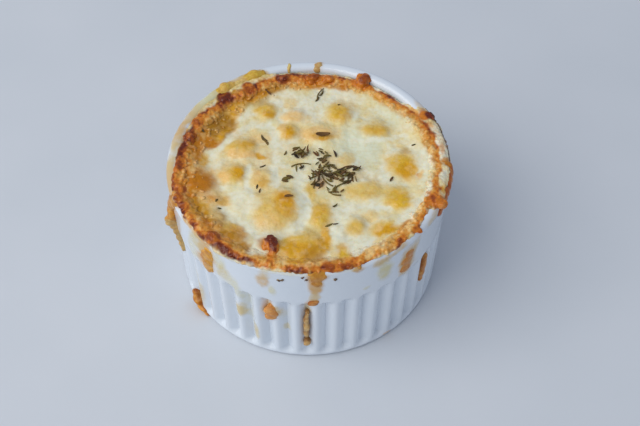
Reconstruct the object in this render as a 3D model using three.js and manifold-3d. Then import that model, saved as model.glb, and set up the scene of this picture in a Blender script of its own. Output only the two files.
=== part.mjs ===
// Macaroni and cheese baked in its own fluted ramekin, in millimetres.
// +Z is up, the dish stands on z = 0 with its axis on Z, and -Y is the side that faces the viewer.
// Angles are in degrees about Z: 0 is +X, 90 is the back and 270 is the front.

import * as THREE from 'three';
import { mergeVertices } from 'three/addons/utils/BufferGeometryUtils.js';
import Module from 'manifold-3d';

// Dish
const DISH_HEIGHT = 50;
const RIM_RADIUS = 46; // outside of the dish at its top
const BASE_RADIUS = 44.4; // outside of the dish at its foot, before the edge is rounded
const BORE_RADIUS = 41.5; // inside of the dish just under the rounded rim
const BORE_BASE_RADIUS = 39.6; // inside of the dish above its rounded bottom corner
const FLOOR_THICKNESS = 4.5;
const CORNER_RADIUS = 5; // between the bore and the floor
const RIM_OUTER_ROUND = 2.4;
const RIM_INNER_ROUND = 1.6;
const FOOT_OUTER_RADIUS = 42.2;
const FOOT_INNER_RADIUS = 37.5;
const FOOT_EDGE_HEIGHT = 1.8; // where the rounded foot edge meets the wall
const FOOT_EDGE_ROUND = 0.5; // how far the edge is drawn in at a third of that height
const RECESS_DEPTH = 1.2; // of the underside, inside the foot ring
const CUT_PAST = 2; // how far a cutting solid runs past the surface that it opens

// Flutes, which stop below a plain band
const FLUTES = 44;
const FLUTE_DEPTH = 2.1;
const FLUTE_PHASE = 2.5; // angle of one rib's crown
const FLUTE_TOP = 33.2;
const FLUTE_FADE = 2.8; // length over which a groove runs out at its top
const FLUTE_FOOT = 1.8;
const FLUTE_FOOT_FADE = 2;
const RIB_FULLNESS = 1.25; // the higher, the narrower the ribs beside the grooves
const SHOULDER_SHIFT = 0.05; // share of a flute by which the steps move away from the crown

// Filling
const FILL_LEVEL = 47.6; // height of the cheese between its bumps
const FILL_CROWN = 0.5; // how much the middle stands above that
const FILL_TILT = 0.012; // how much the cheese rises for each millimetre towards the front
const GAP = 0.3; // between the filling and the dish
const CRUST_COVER = 0.55; // thickness of the crust that lies on the rim
const COVER_START = 42; // a crust whose edge is past this radius lies on the rim
const CRUST_START = 31; // radius at which the surface starts to climb to the crust
const CRUST_CRAG = 0.5; // height of the crags
const CRAGS_ROUND = 23; // crags in one turn
const CRAG_DRIFTS = 7; // times in one turn that the rows of crags move in and out
const CRAG_DRIFT = 4; // by how much, in radians of a row
const CRAG_ROWS = 1.3; // radians of a row for each millimetre outwards
const CRAG_ON_RIM = 0.4; // share of the crags that is left on the rim
const SURFACE_RIPPLE = 0.16;
const BUMP_FLATNESS = 0.9; // above 0.5 the bumps are steep-sided with broad tops
const BORE_STEPS = 72; // round the bore and the filling's side
const CRUST_STEPS = 84; // round the top of the filling
const RING_COUNT = 12; // rings of the top inside the crust
const CRUST_RINGS = [0.35, 0.7, 1]; // shares of the way from the bore to the crust's edge
const BLANK_BOTTOM = 1; // lower than the dish's floor, which cuts it

// Domes and hollows of the cheese over the macaroni: x, y, radius, height.
// The heights are then multiplied by the relief.
const BUMP_RELIEF = 1.3;
const BUMPS = [
  [-35.5, -8.5, 5, 0.9], [-31, -16, 3.5, 0.6], [-24, -4.5, 3.8, 0.9], [-21.5, 6.5, 4.4, 1],
  [-30, 12.5, 3.4, 0.5], [-28.5, 18.5, 4.6, -0.9], [-24, 29, 3.8, 0.7], [-14, 23, 3.4, 0.8],
  [-4.5, 20.5, 3.6, 0.8], [-6.5, 13.5, 3.2, 0.9], [4, 12.5, 4.6, 0.8], [10.5, 22, 4.4, 0.9],
  [22.5, 14.5, 4.4, 0.7], [30.5, 0, 5.2, 1], [28, -15, 4.6, 0.9], [18.5, -12, 5, 0.6],
  [-9.5, -19.5, 7.6, 1.4], [-15, -7, 4, 0.7], [-20, -17, 5, 0.6], [4, -22, 4.4, 0.7],
  [-2, -34.5, 5.6, 1.1], [-12, -34.4, 4.4, 1], [14, -26.5, 3.4, 0.7], [24, -27, 4.2, 0.9],
  [8, -30, 3.6, 0.6], [-23.5, -30, 4.4, -0.6], [20, 5, 7, -0.6], [30, 26, 5, 0.5],
  [-34, 2, 4, -0.4],
];

// Where the crust's outer edge lies: angle, radius. Past the bore it lies on the rim.
const CRUST_EDGE = [
  [0, 45.4], [16, 45.2], [24, 45.5], [30, 45], [36, 41.6], [95, 41.6], [109, 41.7], [113, 44],
  [120, 43.6], [131, 44.4], [137, 42.4], [152, 41.8], [172, 42.4], [190, 43.7], [205, 44.7],
  [240, 45.5], [280, 45.3], [296, 44.5], [322, 44], [329, 43.6], [334, 45.5], [350, 45.5],
];

// How high the crust stands where it meets the bore: angle, height.
const CRUST_HEIGHT = [
  [0, 50], [24, 50.2], [36, 48.8], [57, 48.6], [90, 48.8], [104, 49.6], [118, 49.9], [135, 49.8],
  [165, 50], [190, 50.2], [215, 50.3], [270, 50.3], [325, 50.2], [338, 50.6], [350, 50.1],
];

// Burnt beads and lumps of the crust: x, y, z, half length, half width, half height, turn.
const LUMP_UNEVEN = 0.1;
const LUMPS = [
  [-12.1, -33.8, 49.6, 2.9, 2.5, 2.3, 30], [-11.4, -36.2, 48.9, 2.8, 2.6, 1.5, 60],
  [19.2, 36.2, 49.3, 3.8, 3, 2, 62], [40.4, -17.6, 50.2, 3, 2.4, 1.3, 336],
  [39.6, 18, 50, 2.2, 1.4, 1, 110], [-28.2, 28.2, 49.4, 2.7, 1.8, 1.4, 40],
  [-8.5, 38, 49.4, 2.6, 1.8, 1.4, 160], [1.5, 38, 49, 3, 1.7, 1.3, 10],
  [-38.6, 9.6, 49.9, 2.6, 1.5, 1.1, 105], [-29.4, -32.4, 50.3, 2.4, 1.6, 1, 315],
  [5.4, -43.6, 50.4, 2.4, 1.2, 0.9, 5], [-20.5, 33.6, 49.2, 2.2, 1.4, 1.1, 150],
];

// Cheese that ran down the outside:
// angle at the top, top, foot, width, proud of the ribs, lean in degrees towards the foot.
const DRIPS = [
  [272.3, 48.9, 45, 5.4, 0.35, 0], [271.4, 34.8, 31.4, 4.2, 0.6, 0], [268.7, 28.4, 7.4, 2.2, 0.5, -0.3],
  [253.4, 29.8, 20.4, 4.4, 1, 1.6], [226.5, 45.8, 34.8, 6, 1, 0], [209.5, 8.6, 1, 6.4, 1.9, 6],
  [313.4, 44, 33.4, 4.2, 0.6, -1.4], [326.6, 30.8, 17.4, 2.8, 0.5, -2],
  [195.4, 48.4, 39.4, 6, 1.5, 2], [197, 40.4, 32, 3, 3, 1.8], [199.6, 34, 22.4, 1.9, 1.4, 2.4],
  [352.5, 48.9, 44.2, 10.6, 1.3, -1], [335.6, 48.9, 42.2, 4.6, 1.2, 1],
];

const DRIP_ROOT = FLUTE_DEPTH + 0.8; // how far a run reaches into the wall
const DRIP_SINK = 0.17; // how far a run's outline lies under the wall's surface
const DRIP_THICKNESS = [0.7, 1.1]; // share of its thickness at the top and at the foot
const DRIP_BREADTH = [0.85, 1.1]; // share of its width at the top and at the foot

// Single bits of dried thyme: x, y, length, direction.
const LONE_HERBS = [
  [-14.5, 10, 4.6, 125], [4.5, 31, 6, 70], [4.8, 11.8, 5, 10], [-7.4, -7, 4, 20],
  [-6.5, -14.5, 2.8, 5], [26.6, -7.6, 2.6, 60], [8.2, -18.5, 2.8, 45], [7.2, -26, 4, 25],
  [-14.8, -1.6, 3, 30], [-16.2, -10.8, 2.6, 80], [-2.4, -1.6, 4.6, 10], [-13.5, 32, 3.6, 130],
];
const CLUSTER_HERBS = 17;
const CLUSTER_CENTRE = [7, -3.4];
const CLUSTER_SPREAD = [9.4, 8];
const HERB_WIDTH = 0.95;
const HERB_HALF_THICKNESS = 0.42;
const HERB_STEPS = 2;
const HERB_LENGTH = [2.2, 4.6];
const HERB_WAVE = 0.5;
const HERB_LIFT = 0.1; // height of its middle over the cheese
const HERB_TAPER = 0.6;
const SEED = 7;

const wasm = await Module();
wasm.setup();

const rad = THREE.MathUtils.degToRad;
const { lerp, smoothstep } = THREE.MathUtils;

// Numbers from 0 to 1 that come out the same each time.
function randomNumbers(seed) {
  let state = seed;
  return () => {
    state = (Math.imul(state, 1664525) + 1013904223) >>> 0;
    return state / 4294967296;
  };
}

// A closed geometry as a solid that can be joined and cut.
function solidOf(geometry) {
  const bare = geometry.index ? geometry.clone() : geometry;
  bare.deleteAttribute('normal');
  bare.deleteAttribute('uv');
  const merged = mergeVertices(bare, 1e-4);
  const triangles = [];
  for (let i = 0; i < merged.index.count; i += 3) {
    const [a, b, c] = [0, 1, 2].map((k) => merged.index.getX(i + k));
    if (a !== b && b !== c && c !== a) triangles.push(a, b, c);
  }
  return new wasm.Manifold(new wasm.Mesh({
    numProp: 3,
    vertProperties: Float32Array.from(merged.attributes.position.array),
    triVerts: Uint32Array.from(triangles),
  }));
}

// The largest closed body of a solid, so that it keeps no loose scrap and no sealed pocket.
function largestBody(solid) {
  const bodies = solid.decompose();
  return bodies.reduce((best, body) => (body.volume() > best.volume() ? body : best));
}

function geometryOf(solid) {
  const mesh = solid.getMesh();
  const geometry = new THREE.BufferGeometry();
  geometry.setAttribute('position', new THREE.BufferAttribute(mesh.vertProperties, 3));
  geometry.setIndex(new THREE.BufferAttribute(mesh.triVerts, 1));
  geometry.computeVertexNormals();
  return geometry;
}

// Points of an arc in the profile's plane, radius against height, without the first one.
function arc(r, z, radius, from, to, steps) {
  return Array.from({ length: steps }, (_, i) => {
    const a = rad(lerp(from, to, (i + 1) / steps));
    return [r + radius * Math.cos(a), z + radius * Math.sin(a)];
  });
}

// A profile that starts and ends on the axis, turned about Z from the given angle.
function turned(profile, steps, startAngle = 270) {
  const points = profile.map(([r, z]) => new THREE.Vector2(r, z));
  return new THREE.LatheGeometry(points, steps, rad(startAngle + 90)).rotateX(Math.PI / 2);
}

// A value read off a list of angle and value pairs that runs once round the dish.
function roundTheDish(pairs, angle) {
  const a = ((angle % 360) + 360) % 360;
  const next = pairs.findIndex(([start]) => start > a);
  const after = next < 0 ? [pairs[0][0] + 360, pairs[0][1]] : pairs[next];
  const before = pairs[(next < 0 ? pairs.length : next) - 1];
  return lerp(before[1], after[1], smoothstep(a, before[0], after[0]));
}

// Radius of the outside at a height: the ribs' crowns, the band and the rounded shoulder.
function wallRadius(z) {
  const overShoulder = Math.max(z - (DISH_HEIGHT - RIM_OUTER_ROUND), 0);
  const drawnIn = RIM_OUTER_ROUND - Math.sqrt(Math.max(RIM_OUTER_ROUND ** 2 - overShoulder ** 2, 0));
  return lerp(BASE_RADIUS, RIM_RADIUS, z / DISH_HEIGHT) - drawnIn;
}

// Depth of the flutes at a place on the wall: 0 on a rib's crown, FLUTE_DEPTH in a groove.
function grooveDepth(angle, z) {
  const share = ((angle - FLUTE_PHASE) * FLUTES) / 360;
  const rib = Math.abs(Math.cos(Math.PI * share)) ** RIB_FULLNESS;
  const top = 1 - smoothstep(z, FLUTE_TOP - FLUTE_FADE, FLUTE_TOP);
  const foot = smoothstep(z, FLUTE_FOOT, FLUTE_FOOT + FLUTE_FOOT_FADE);
  return FLUTE_DEPTH * (1 - rib) * top * foot;
}

// The outside of the dish, filled solid: foot, fluted wall, plain band and rounded rim.
function dishOutside() {
  const wallHeights = [FLUTE_FOOT + FLUTE_FOOT_FADE, FLUTE_TOP - FLUTE_FADE, FLUTE_TOP];
  const shoulder = DISH_HEIGHT - RIM_OUTER_ROUND;
  const profile = [
    [0, 0], [FOOT_OUTER_RADIUS, 0], [wallRadius(0) - FOOT_EDGE_ROUND, FOOT_EDGE_HEIGHT / 3],
    [wallRadius(FOOT_EDGE_HEIGHT), FOOT_EDGE_HEIGHT],
    ...wallHeights.map((z) => [wallRadius(z), z]), [RIM_RADIUS, shoulder],
    ...arc(RIM_RADIUS - RIM_OUTER_ROUND, shoulder, RIM_OUTER_ROUND, 0, 90, 2), [0, DISH_HEIGHT],
  ];
  const geometry = turned(profile, FLUTES * 4, FLUTE_PHASE);
  const position = geometry.attributes.position;
  const point = new THREE.Vector3();
  for (let i = 0; i < position.count; i += 1) {
    point.fromBufferAttribute(position, i);
    const angle = THREE.MathUtils.radToDeg(Math.atan2(point.y, point.x));
    const share = ((angle - FLUTE_PHASE) * FLUTES) / 360;
    const shift = (SHOULDER_SHIFT * Math.sin(2 * Math.PI * share) * 360) / FLUTES;
    const onWall = point.z > FLUTE_FOOT && point.z < FLUTE_TOP;
    const radius = Math.hypot(point.x, point.y) - (onWall ? grooveDepth(angle + shift, point.z) : 0);
    const turn = rad(angle + (onWall ? shift : 0));
    position.setXYZ(i, radius * Math.cos(turn), radius * Math.sin(turn), point.z);
  }
  return solidOf(geometry);
}

// The inside of the dish, and with a gap the largest thing that fits in it and over its rim.
function boreProfile(gap) {
  const floor = FLOOR_THICKNESS + gap;
  const innerShoulder = DISH_HEIGHT - RIM_INNER_ROUND;
  const cornerRadius = CORNER_RADIUS - gap;
  return [
    [0, floor],
    [BORE_BASE_RADIUS - CORNER_RADIUS, floor],
    ...arc(BORE_BASE_RADIUS - CORNER_RADIUS, floor + cornerRadius, cornerRadius, -90, 0, 2),
    [BORE_RADIUS - gap, innerShoulder],
    ...arc(BORE_RADIUS + RIM_INNER_ROUND, innerShoulder, RIM_INNER_ROUND + gap, 180, 90, 3),
  ];
}

function dishBore() {
  const lip = BORE_RADIUS + RIM_INNER_ROUND;
  const top = DISH_HEIGHT + CUT_PAST;
  return solidOf(turned([...boreProfile(0), [lip, top], [0, top]], BORE_STEPS));
}

// The hollow under the dish that leaves it standing on a foot ring.
function underside() {
  const profile = [
    [0, -CUT_PAST], [FOOT_INNER_RADIUS, -CUT_PAST], [FOOT_INNER_RADIUS, 0],
    [FOOT_INNER_RADIUS - RECESS_DEPTH, RECESS_DEPTH], [0, RECESS_DEPTH],
  ];
  return solidOf(turned(profile, BORE_STEPS));
}

// Everything that the filling has to stay clear of, as one solid round and under it.
function roomTaken() {
  const far = RIM_RADIUS + 20; // well past the filling's widest point
  const shoulder = DISH_HEIGHT - RIM_OUTER_ROUND;
  const outerRound = arc(RIM_RADIUS - RIM_OUTER_ROUND, shoulder, RIM_OUTER_ROUND + GAP, 90, 0, 3);
  const start = [RIM_RADIUS - RIM_OUTER_ROUND, DISH_HEIGHT + GAP];
  const outside = [[far, shoulder], [far, -CUT_PAST], [0, -CUT_PAST]];
  const profile = [...boreProfile(GAP), start, ...outerRound, ...outside];
  return solidOf(turned(profile.reverse(), BORE_STEPS));
}

// One run of cheese: a rounded pad on the wall, thickest low down, half sunk in the wall.
function drip([angle, top, foot, width, proud, lean]) {
  const geometry = new THREE.SphereGeometry(1, 8, 6).rotateX(Math.PI / 2);
  const position = geometry.attributes.position;
  const point = new THREE.Vector3();
  for (let i = 0; i < position.count; i += 1) {
    point.fromBufferAttribute(position, i);
    const down = (1 - point.z) / 2;
    const z = lerp(top, foot, down);
    const outwards = Math.max(point.y, 0) * proud * lerp(...DRIP_THICKNESS, down);
    const inwards = Math.sqrt(Math.max(-point.y, 0)) * DRIP_ROOT;
    const radius = wallRadius(z) - DRIP_SINK + outwards - inwards;
    const across = point.x * (width / 2) * lerp(...DRIP_BREADTH, down);
    const turn = rad(angle + lean * down) - across / RIM_RADIUS;
    position.setXYZ(i, radius * Math.cos(turn), radius * Math.sin(turn), z);
  }
  return solidOf(geometry);
}

// Height of the rim under the crust, as far out as its rounded edge.
function rimHeight(radius) {
  const flatStart = BORE_RADIUS + RIM_INNER_ROUND;
  const flatEnd = RIM_RADIUS - RIM_OUTER_ROUND;
  const inner = Math.min(flatStart - radius, RIM_INNER_ROUND);
  const outer = Math.min(radius - flatEnd, RIM_OUTER_ROUND);
  if (inner > 0) return DISH_HEIGHT - RIM_INNER_ROUND + Math.sqrt(RIM_INNER_ROUND ** 2 - inner ** 2);
  if (outer > 0) return DISH_HEIGHT - RIM_OUTER_ROUND + Math.sqrt(RIM_OUTER_ROUND ** 2 - outer ** 2);
  return DISH_HEIGHT;
}

// Height of the cheese inside the crust.
function cheeseHeight(x, y) {
  const crown = FILL_CROWN * (1 - (x * x + y * y) / BORE_RADIUS ** 2) - FILL_TILT * y;
  const bumps = BUMPS.reduce((sum, [bx, by, size, height]) => {
    const distance = ((x - bx) ** 2 + (y - by) ** 2) / size ** 2;
    return sum + height * Math.exp(-BUMP_FLATNESS * distance ** 2);
  }, 0);
  const ripple = Math.sin(0.83 * x + 1.1) * Math.cos(0.77 * y) + Math.sin(0.51 * (x + y));
  return FILL_LEVEL + crown + BUMP_RELIEF * bumps + SURFACE_RIPPLE * ripple;
}

// Height of the whole top, from the middle to the crust's edge.
function topHeight(radius, angle) {
  const x = radius * Math.cos(rad(angle));
  const y = radius * Math.sin(rad(angle));
  const climb = smoothstep(radius, CRUST_START, BORE_RADIUS - GAP);
  const row = radius * CRAG_ROWS + CRAG_DRIFT * Math.sin(rad(angle * CRAG_DRIFTS));
  const crag = Math.sin(rad(angle * CRAGS_ROUND)) * Math.cos(row);
  const share = radius < BORE_RADIUS ? 1 : CRAG_ON_RIM;
  const crust = roundTheDish(CRUST_HEIGHT, angle) + CRUST_CRAG * crag * share;
  const inside = lerp(cheeseHeight(x, y), crust, climb);
  if (radius <= BORE_RADIUS || roundTheDish(CRUST_EDGE, angle) < COVER_START) return inside;
  const cover = CRUST_COVER * (1 - CRAG_ON_RIM / 2 + CRAG_ON_RIM * crag);
  return Math.max(inside, rimHeight(radius) + GAP + cover);
}

// The top surface on rings round the axis, closed by a straight side and a flat bottom.
function fillingBlank() {
  const innerRings = Array.from({ length: RING_COUNT }, (_, i) => (i + 1) / RING_COUNT);
  const vertices = [0, 0, topHeight(0, 0)];
  const ringRadius = BORE_RADIUS - GAP;
  const addRing = (radiusAt, heightAt) => {
    for (let i = 0; i < CRUST_STEPS; i += 1) {
      const angle = (360 * i) / CRUST_STEPS;
      const radius = radiusAt(angle);
      vertices.push(radius * Math.cos(rad(angle)), radius * Math.sin(rad(angle)), heightAt(radius, angle));
    }
  };
  const edge = (angle) => roundTheDish(CRUST_EDGE, angle);
  for (const share of innerRings) addRing(() => share * ringRadius, topHeight);
  for (const share of CRUST_RINGS) addRing((angle) => lerp(ringRadius, edge(angle), share), topHeight);
  addRing(edge, () => BLANK_BOTTOM);
  const rings = innerRings.length + CRUST_RINGS.length + 1;
  const bottom = vertices.length / 3;
  vertices.push(0, 0, BLANK_BOTTOM);
  const index = [];
  for (let i = 0; i < CRUST_STEPS; i += 1) {
    const next = (i + 1) % CRUST_STEPS;
    index.push(0, 1 + i, 1 + next);
    for (let ring = 0; ring < rings - 1; ring += 1) {
      const [a, b] = [1 + ring * CRUST_STEPS + i, 1 + ring * CRUST_STEPS + next];
      index.push(a, a + CRUST_STEPS, b + CRUST_STEPS, a, b + CRUST_STEPS, b);
    }
    const last = 1 + (rings - 1) * CRUST_STEPS;
    index.push(bottom, last + next, last + i);
  }
  const geometry = new THREE.BufferGeometry();
  geometry.setAttribute('position', new THREE.Float32BufferAttribute(vertices, 3));
  geometry.setIndex(index);
  return solidOf(geometry);
}

// One burnt lump of crust, a bead with a slightly uneven outline.
function lump([x, y, z, halfLength, halfWidth, halfHeight, turn]) {
  const geometry = new THREE.SphereGeometry(1, 9, 6).rotateX(Math.PI / 2);
  const position = geometry.attributes.position;
  const point = new THREE.Vector3();
  for (let i = 0; i < position.count; i += 1) {
    point.fromBufferAttribute(position, i);
    point.multiplyScalar(1 + LUMP_UNEVEN * Math.sin(5 * point.x + x) * Math.cos(4 * point.y + y));
    position.setXYZ(i, point.x * halfLength, point.y * halfWidth, point.z * halfHeight);
  }
  return solidOf(geometry.rotateZ(rad(turn)).translate(x, y, z));
}

// One bit of dried thyme: a thin, slightly wavy strip that lies on the cheese.
function herb([x, y, length, direction], wave) {
  const geometry = new THREE.BoxGeometry(length, HERB_WIDTH, 2, HERB_STEPS, 1, 1);
  const position = geometry.attributes.position;
  const point = new THREE.Vector3();
  for (let i = 0; i < position.count; i += 1) {
    point.fromBufferAttribute(position, i);
    const along = (2 * point.x) / length;
    const across = point.y * (1 - HERB_TAPER * along ** 2) + wave * Math.sin(Math.PI * along);
    const [c, s] = [Math.cos(rad(direction)), Math.sin(rad(direction))];
    const px = x + point.x * c - across * s;
    const py = y + point.x * s + across * c;
    const radius = Math.hypot(px, py);
    const angle = THREE.MathUtils.radToDeg(Math.atan2(py, px));
    const height = topHeight(radius, angle) + HERB_LIFT + point.z * HERB_HALF_THICKNESS;
    position.setXYZ(i, px, py, height);
  }
  return solidOf(geometry);
}

// The heap of thyme near the middle, then the bits that lie by themselves.
function thyme() {
  const random = randomNumbers(SEED);
  const heap = Array.from({ length: CLUSTER_HERBS }, () => {
    const reach = Math.sqrt(random());
    const around = random() * 360;
    const x = CLUSTER_CENTRE[0] + CLUSTER_SPREAD[0] * reach * Math.cos(rad(around));
    const y = CLUSTER_CENTRE[1] + CLUSTER_SPREAD[1] * reach * Math.sin(rad(around));
    return [x, y, lerp(...HERB_LENGTH, random()), random() * 180];
  });
  return [...heap, ...LONE_HERBS].map((place) => herb(place, lerp(-HERB_WAVE, HERB_WAVE, random())));
}

function ramekin() {
  const dish = dishOutside().subtract(dishBore()).subtract(underside());
  const dressed = DRIPS.reduce((solid, entry) => solid.add(drip(entry)), dish);
  return largestBody(dressed);
}

function filling() {
  const lumpy = LUMPS.reduce((solid, entry) => solid.add(lump(entry)), fillingBlank());
  const fitted = largestBody(lumpy.subtract(roomTaken()));
  return thyme().reduce((solid, bit) => solid.add(bit), fitted);
}

function piece(name, solid, material) {
  const mesh = new THREE.Mesh(geometryOf(solid), new THREE.MeshStandardMaterial(material));
  mesh.name = name;
  return mesh;
}

const group = new THREE.Group();
group.add(
  piece('ramekin', ramekin(), { color: 0xe3e9ef, roughness: 0.18, metalness: 0 }),
  piece('filling', filling(), { color: 0xe6b75a, roughness: 0.45, metalness: 0 }),
);

export default group;
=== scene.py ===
import itertools
import math

import bpy
import numpy as np
from mathutils import Matrix, Vector


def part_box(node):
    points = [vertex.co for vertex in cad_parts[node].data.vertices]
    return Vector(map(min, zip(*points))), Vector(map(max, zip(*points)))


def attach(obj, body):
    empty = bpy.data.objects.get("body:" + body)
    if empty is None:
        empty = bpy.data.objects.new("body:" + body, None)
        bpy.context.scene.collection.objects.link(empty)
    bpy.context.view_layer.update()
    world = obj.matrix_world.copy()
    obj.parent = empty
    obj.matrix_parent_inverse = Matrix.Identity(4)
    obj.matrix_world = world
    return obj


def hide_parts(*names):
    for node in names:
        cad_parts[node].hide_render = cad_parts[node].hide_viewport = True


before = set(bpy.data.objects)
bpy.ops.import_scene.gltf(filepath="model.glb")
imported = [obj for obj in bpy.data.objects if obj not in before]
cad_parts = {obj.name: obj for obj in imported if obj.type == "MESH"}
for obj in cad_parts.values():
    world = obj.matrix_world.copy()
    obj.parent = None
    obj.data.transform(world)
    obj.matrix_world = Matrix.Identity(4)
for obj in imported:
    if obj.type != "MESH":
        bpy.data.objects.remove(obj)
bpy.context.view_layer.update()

bl_info = {
    "name": "Baked Macaroni and Cheese",
    "version": (1, 0, 0),
    "blender": (4, 5, 0),
    "location": "3D View > Sidebar > Baked Dish",
    "description": "A fluted ramekin of macaroni and cheese with a browned crust and dried thyme",
    "category": "Add Mesh",
}

# Sizes are in millimetres and angles in degrees, and only a mesh is in metres.
# Angle 0 is +X, 90 is the back and 270 the front. The dish stands on z = 0 with its axis on Z.
MM = 0.001
TURN = 360
FRONT = 270

# Dish
DISH_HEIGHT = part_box("ramekin")[1].z / MM
RIM_RADIUS = 46
BASE_RADIUS = 44.4
BORE_RADIUS = 41.5
BORE_BASE_RADIUS = 39.6
FLOOR_THICKNESS = 4.5
CORNER_RADIUS = 5
RIM_OUTER_ROUND = 2.4
RIM_INNER_ROUND = 1.6
FOOT_OUTER_RADIUS = 42.2
FOOT_INNER_RADIUS = 37.5
FOOT_EDGE_HEIGHT = 1.8
RECESS_DEPTH = 1.2
FLUTE_PHASE = 2.5
FLUTE_TOP = 33.2
FLUTE_FADE = 2.8
FLUTE_FOOT = 1.8
FLUTE_FOOT_FADE = 2
RIB_FULLNESS = 1.25
RIM_CROWN = (BORE_RADIUS + RIM_INNER_ROUND + RIM_RADIUS - RIM_OUTER_ROUND) / 2
RIM_HALF_FLAT = RIM_RADIUS - RIM_OUTER_ROUND - RIM_CROWN
WALL_ROW = 0.65
FLUTE_COLUMNS = 12
MERGE_REACH = 0.002
FILM_PALE = (218, 214, 160)
FILM_GOLDEN = (210, 146, 44)

# Pale films that cheese left on the glaze: angle, distance down from the rim's crown, half
# width, half height, strength, warmth.
FILMS = [
    (232, 7.6, 3.2, 5, 0.5, 0.1), (234, 13.6, 3.4, 4.6, 0.65, 0.3), (238.5, 18, 3.2, 6, 0.5, 0.1),
    (240, 31, 2.8, 4.6, 0.8, 0.4), (243, 24, 2.4, 6, 0.4, 0.05), (246, 41, 1.9, 5, 0.7, 0.35),
    (244.5, 34, 1.8, 5, 0.35, 0.05), (220.5, 7, 4.4, 5, 0.7, 0.25), (216, 14, 3.2, 7, 0.45, 0.1),
    (214, 31, 2, 8, 0.45, 0.25), (215.5, 41, 2.2, 8, 0.6, 0.45),
    (251.5, 8.4, 2.4, 4.4, 0.65, 0.7), (253, 4.6, 2.8, 2.4, 0.4, 0.4),
    (255.2, 13.4, 1.5, 3.6, 0.5, 0.1), (260, 35.4, 1.8, 2.6, 0.6, 0.3),
    (259, 29, 1.2, 4.6, 0.25, 0.1), (272.6, 4.4, 3.8, 3.6, 1, 0.9),
    (272.4, 9.6, 2.8, 4, 0.95, 0.8), (272, 15, 2.2, 4, 0.7, 0.5), (268.6, 24, 1.4, 4, 0.6, 0.4),
    (300.5, 10.4, 4, 5.6, 0.7, 0.15), (298.5, 4.4, 4.2, 2.2, 0.7, 0.6),
    (293, 15, 1.6, 1, 0.45, 0.1), (312, 15, 4, 7, 0.5, 0.5), (316.5, 7, 2.8, 5, 0.5, 0.5),
    (311, 8, 3.6, 4, 0.6, 0.6), (325.5, 37.4, 1.7, 3, 0.5, 0.4), (318, 20, 1.2, 6, 0.25, 0.1),
    (289.2, 3.6, 2.2, 1.8, 0.8, 0.9), (305, 50, 2.4, 1.2, 0.6, 0.9),
    (225.6, 10, 3.8, 8.4, 1, 0.85), (221.5, 15.5, 3, 4, 0.8, 0.8), (222.5, 3, 5, 2, 0.8, 0.8),
    (214, 2.6, 4.4, 1.6, 0.8, 0.8), (254.4, 25.6, 3.8, 5, 0.9, 0.55),
    (312, 12.6, 4, 5.6, 0.8, 0.8), (325.4, 27.6, 1.9, 6, 0.6, 0.7), (191, 3, 6, 3.4, 1, 0.75),
    (270.8, 18.4, 2.4, 2.2, 0.7, 0.8), (202, 1.6, 4.6, 2.8, 1, 1), (198.5, 6, 3.4, 4, 0.9, 0.8),
    (199.5, 22, 1.8, 8, 0.5, 0.4), (198, 30, 1.6, 4, 0.5, 0.2), (192, 2.2, 6, 2.6, 0.75, 0.6),
    (184, 1.6, 6, 3, 0.8, 0.5), (176, 0.8, 5, 2.4, 0.5, 0.3), (169, 0.6, 5, 2.2, 0.6, 0.6),
    (161, 0.6, 5, 2.4, 0.8, 0.7), (152, -0.2, 6, 3.4, 0.9, 0.5), (144, -0.4, 6, 3.4, 0.75, 0.05),
    (136, -0.6, 5, 3.4, 0.75, 0.1), (130, -1, 6, 3.6, 1, 0.55), (120, -1, 5, 3.4, 1, 0.5),
    (113, -1.4, 4, 3, 1, 0.6), (84.5, 1, 2.4, 3, 0.5, 0.6), (236, 3, 7, 1.6, 0.5, 0.3),
    (262, 3, 8, 1.2, 0.4, 0.2), (284, 3.4, 6, 1.2, 0.35, 0.2), (306, 3, 5, 1.4, 0.6, 0.6),
    (328, 3, 5, 2, 0.5, 0.5), (32, 1.4, 3, 1.6, 0.5, 0.6), (350, 8, 5, 3, 0.4, 0.6),
]

# Filling
FILL_LEVEL = 47.6
FILL_CROWN = 0.5
FILL_TILT = 0.012  # how much the cheese rises for each millimetre towards the front
FILL_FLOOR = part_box("filling")[0].z / MM
GAP = 0.3
CHEESE_RADIUS = BORE_RADIUS - GAP
CRUST_START = 31
EDGE_START = 38  # from here out the crust lies on the cheese
CHEESE_CELLS = 276
BUMP_FLATNESS = 0.9
CALM_PLACE = (20, 5, 8, 7, 0)  # a smooth pool: x, y, half width, half depth, turn

# The lists below give places as they are seen from the camera's side on these levels: all on the
# first one, but beside the crust on a level that rises from the first to the second radius.
LIST_LEVEL = 47.5
RING_RADII = (36, 42)
RING_LEVELS = (47.6, 50.3)
SIGHT_LEAN = 0.754  # how far back a line of sight runs while it drops by 1

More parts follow.
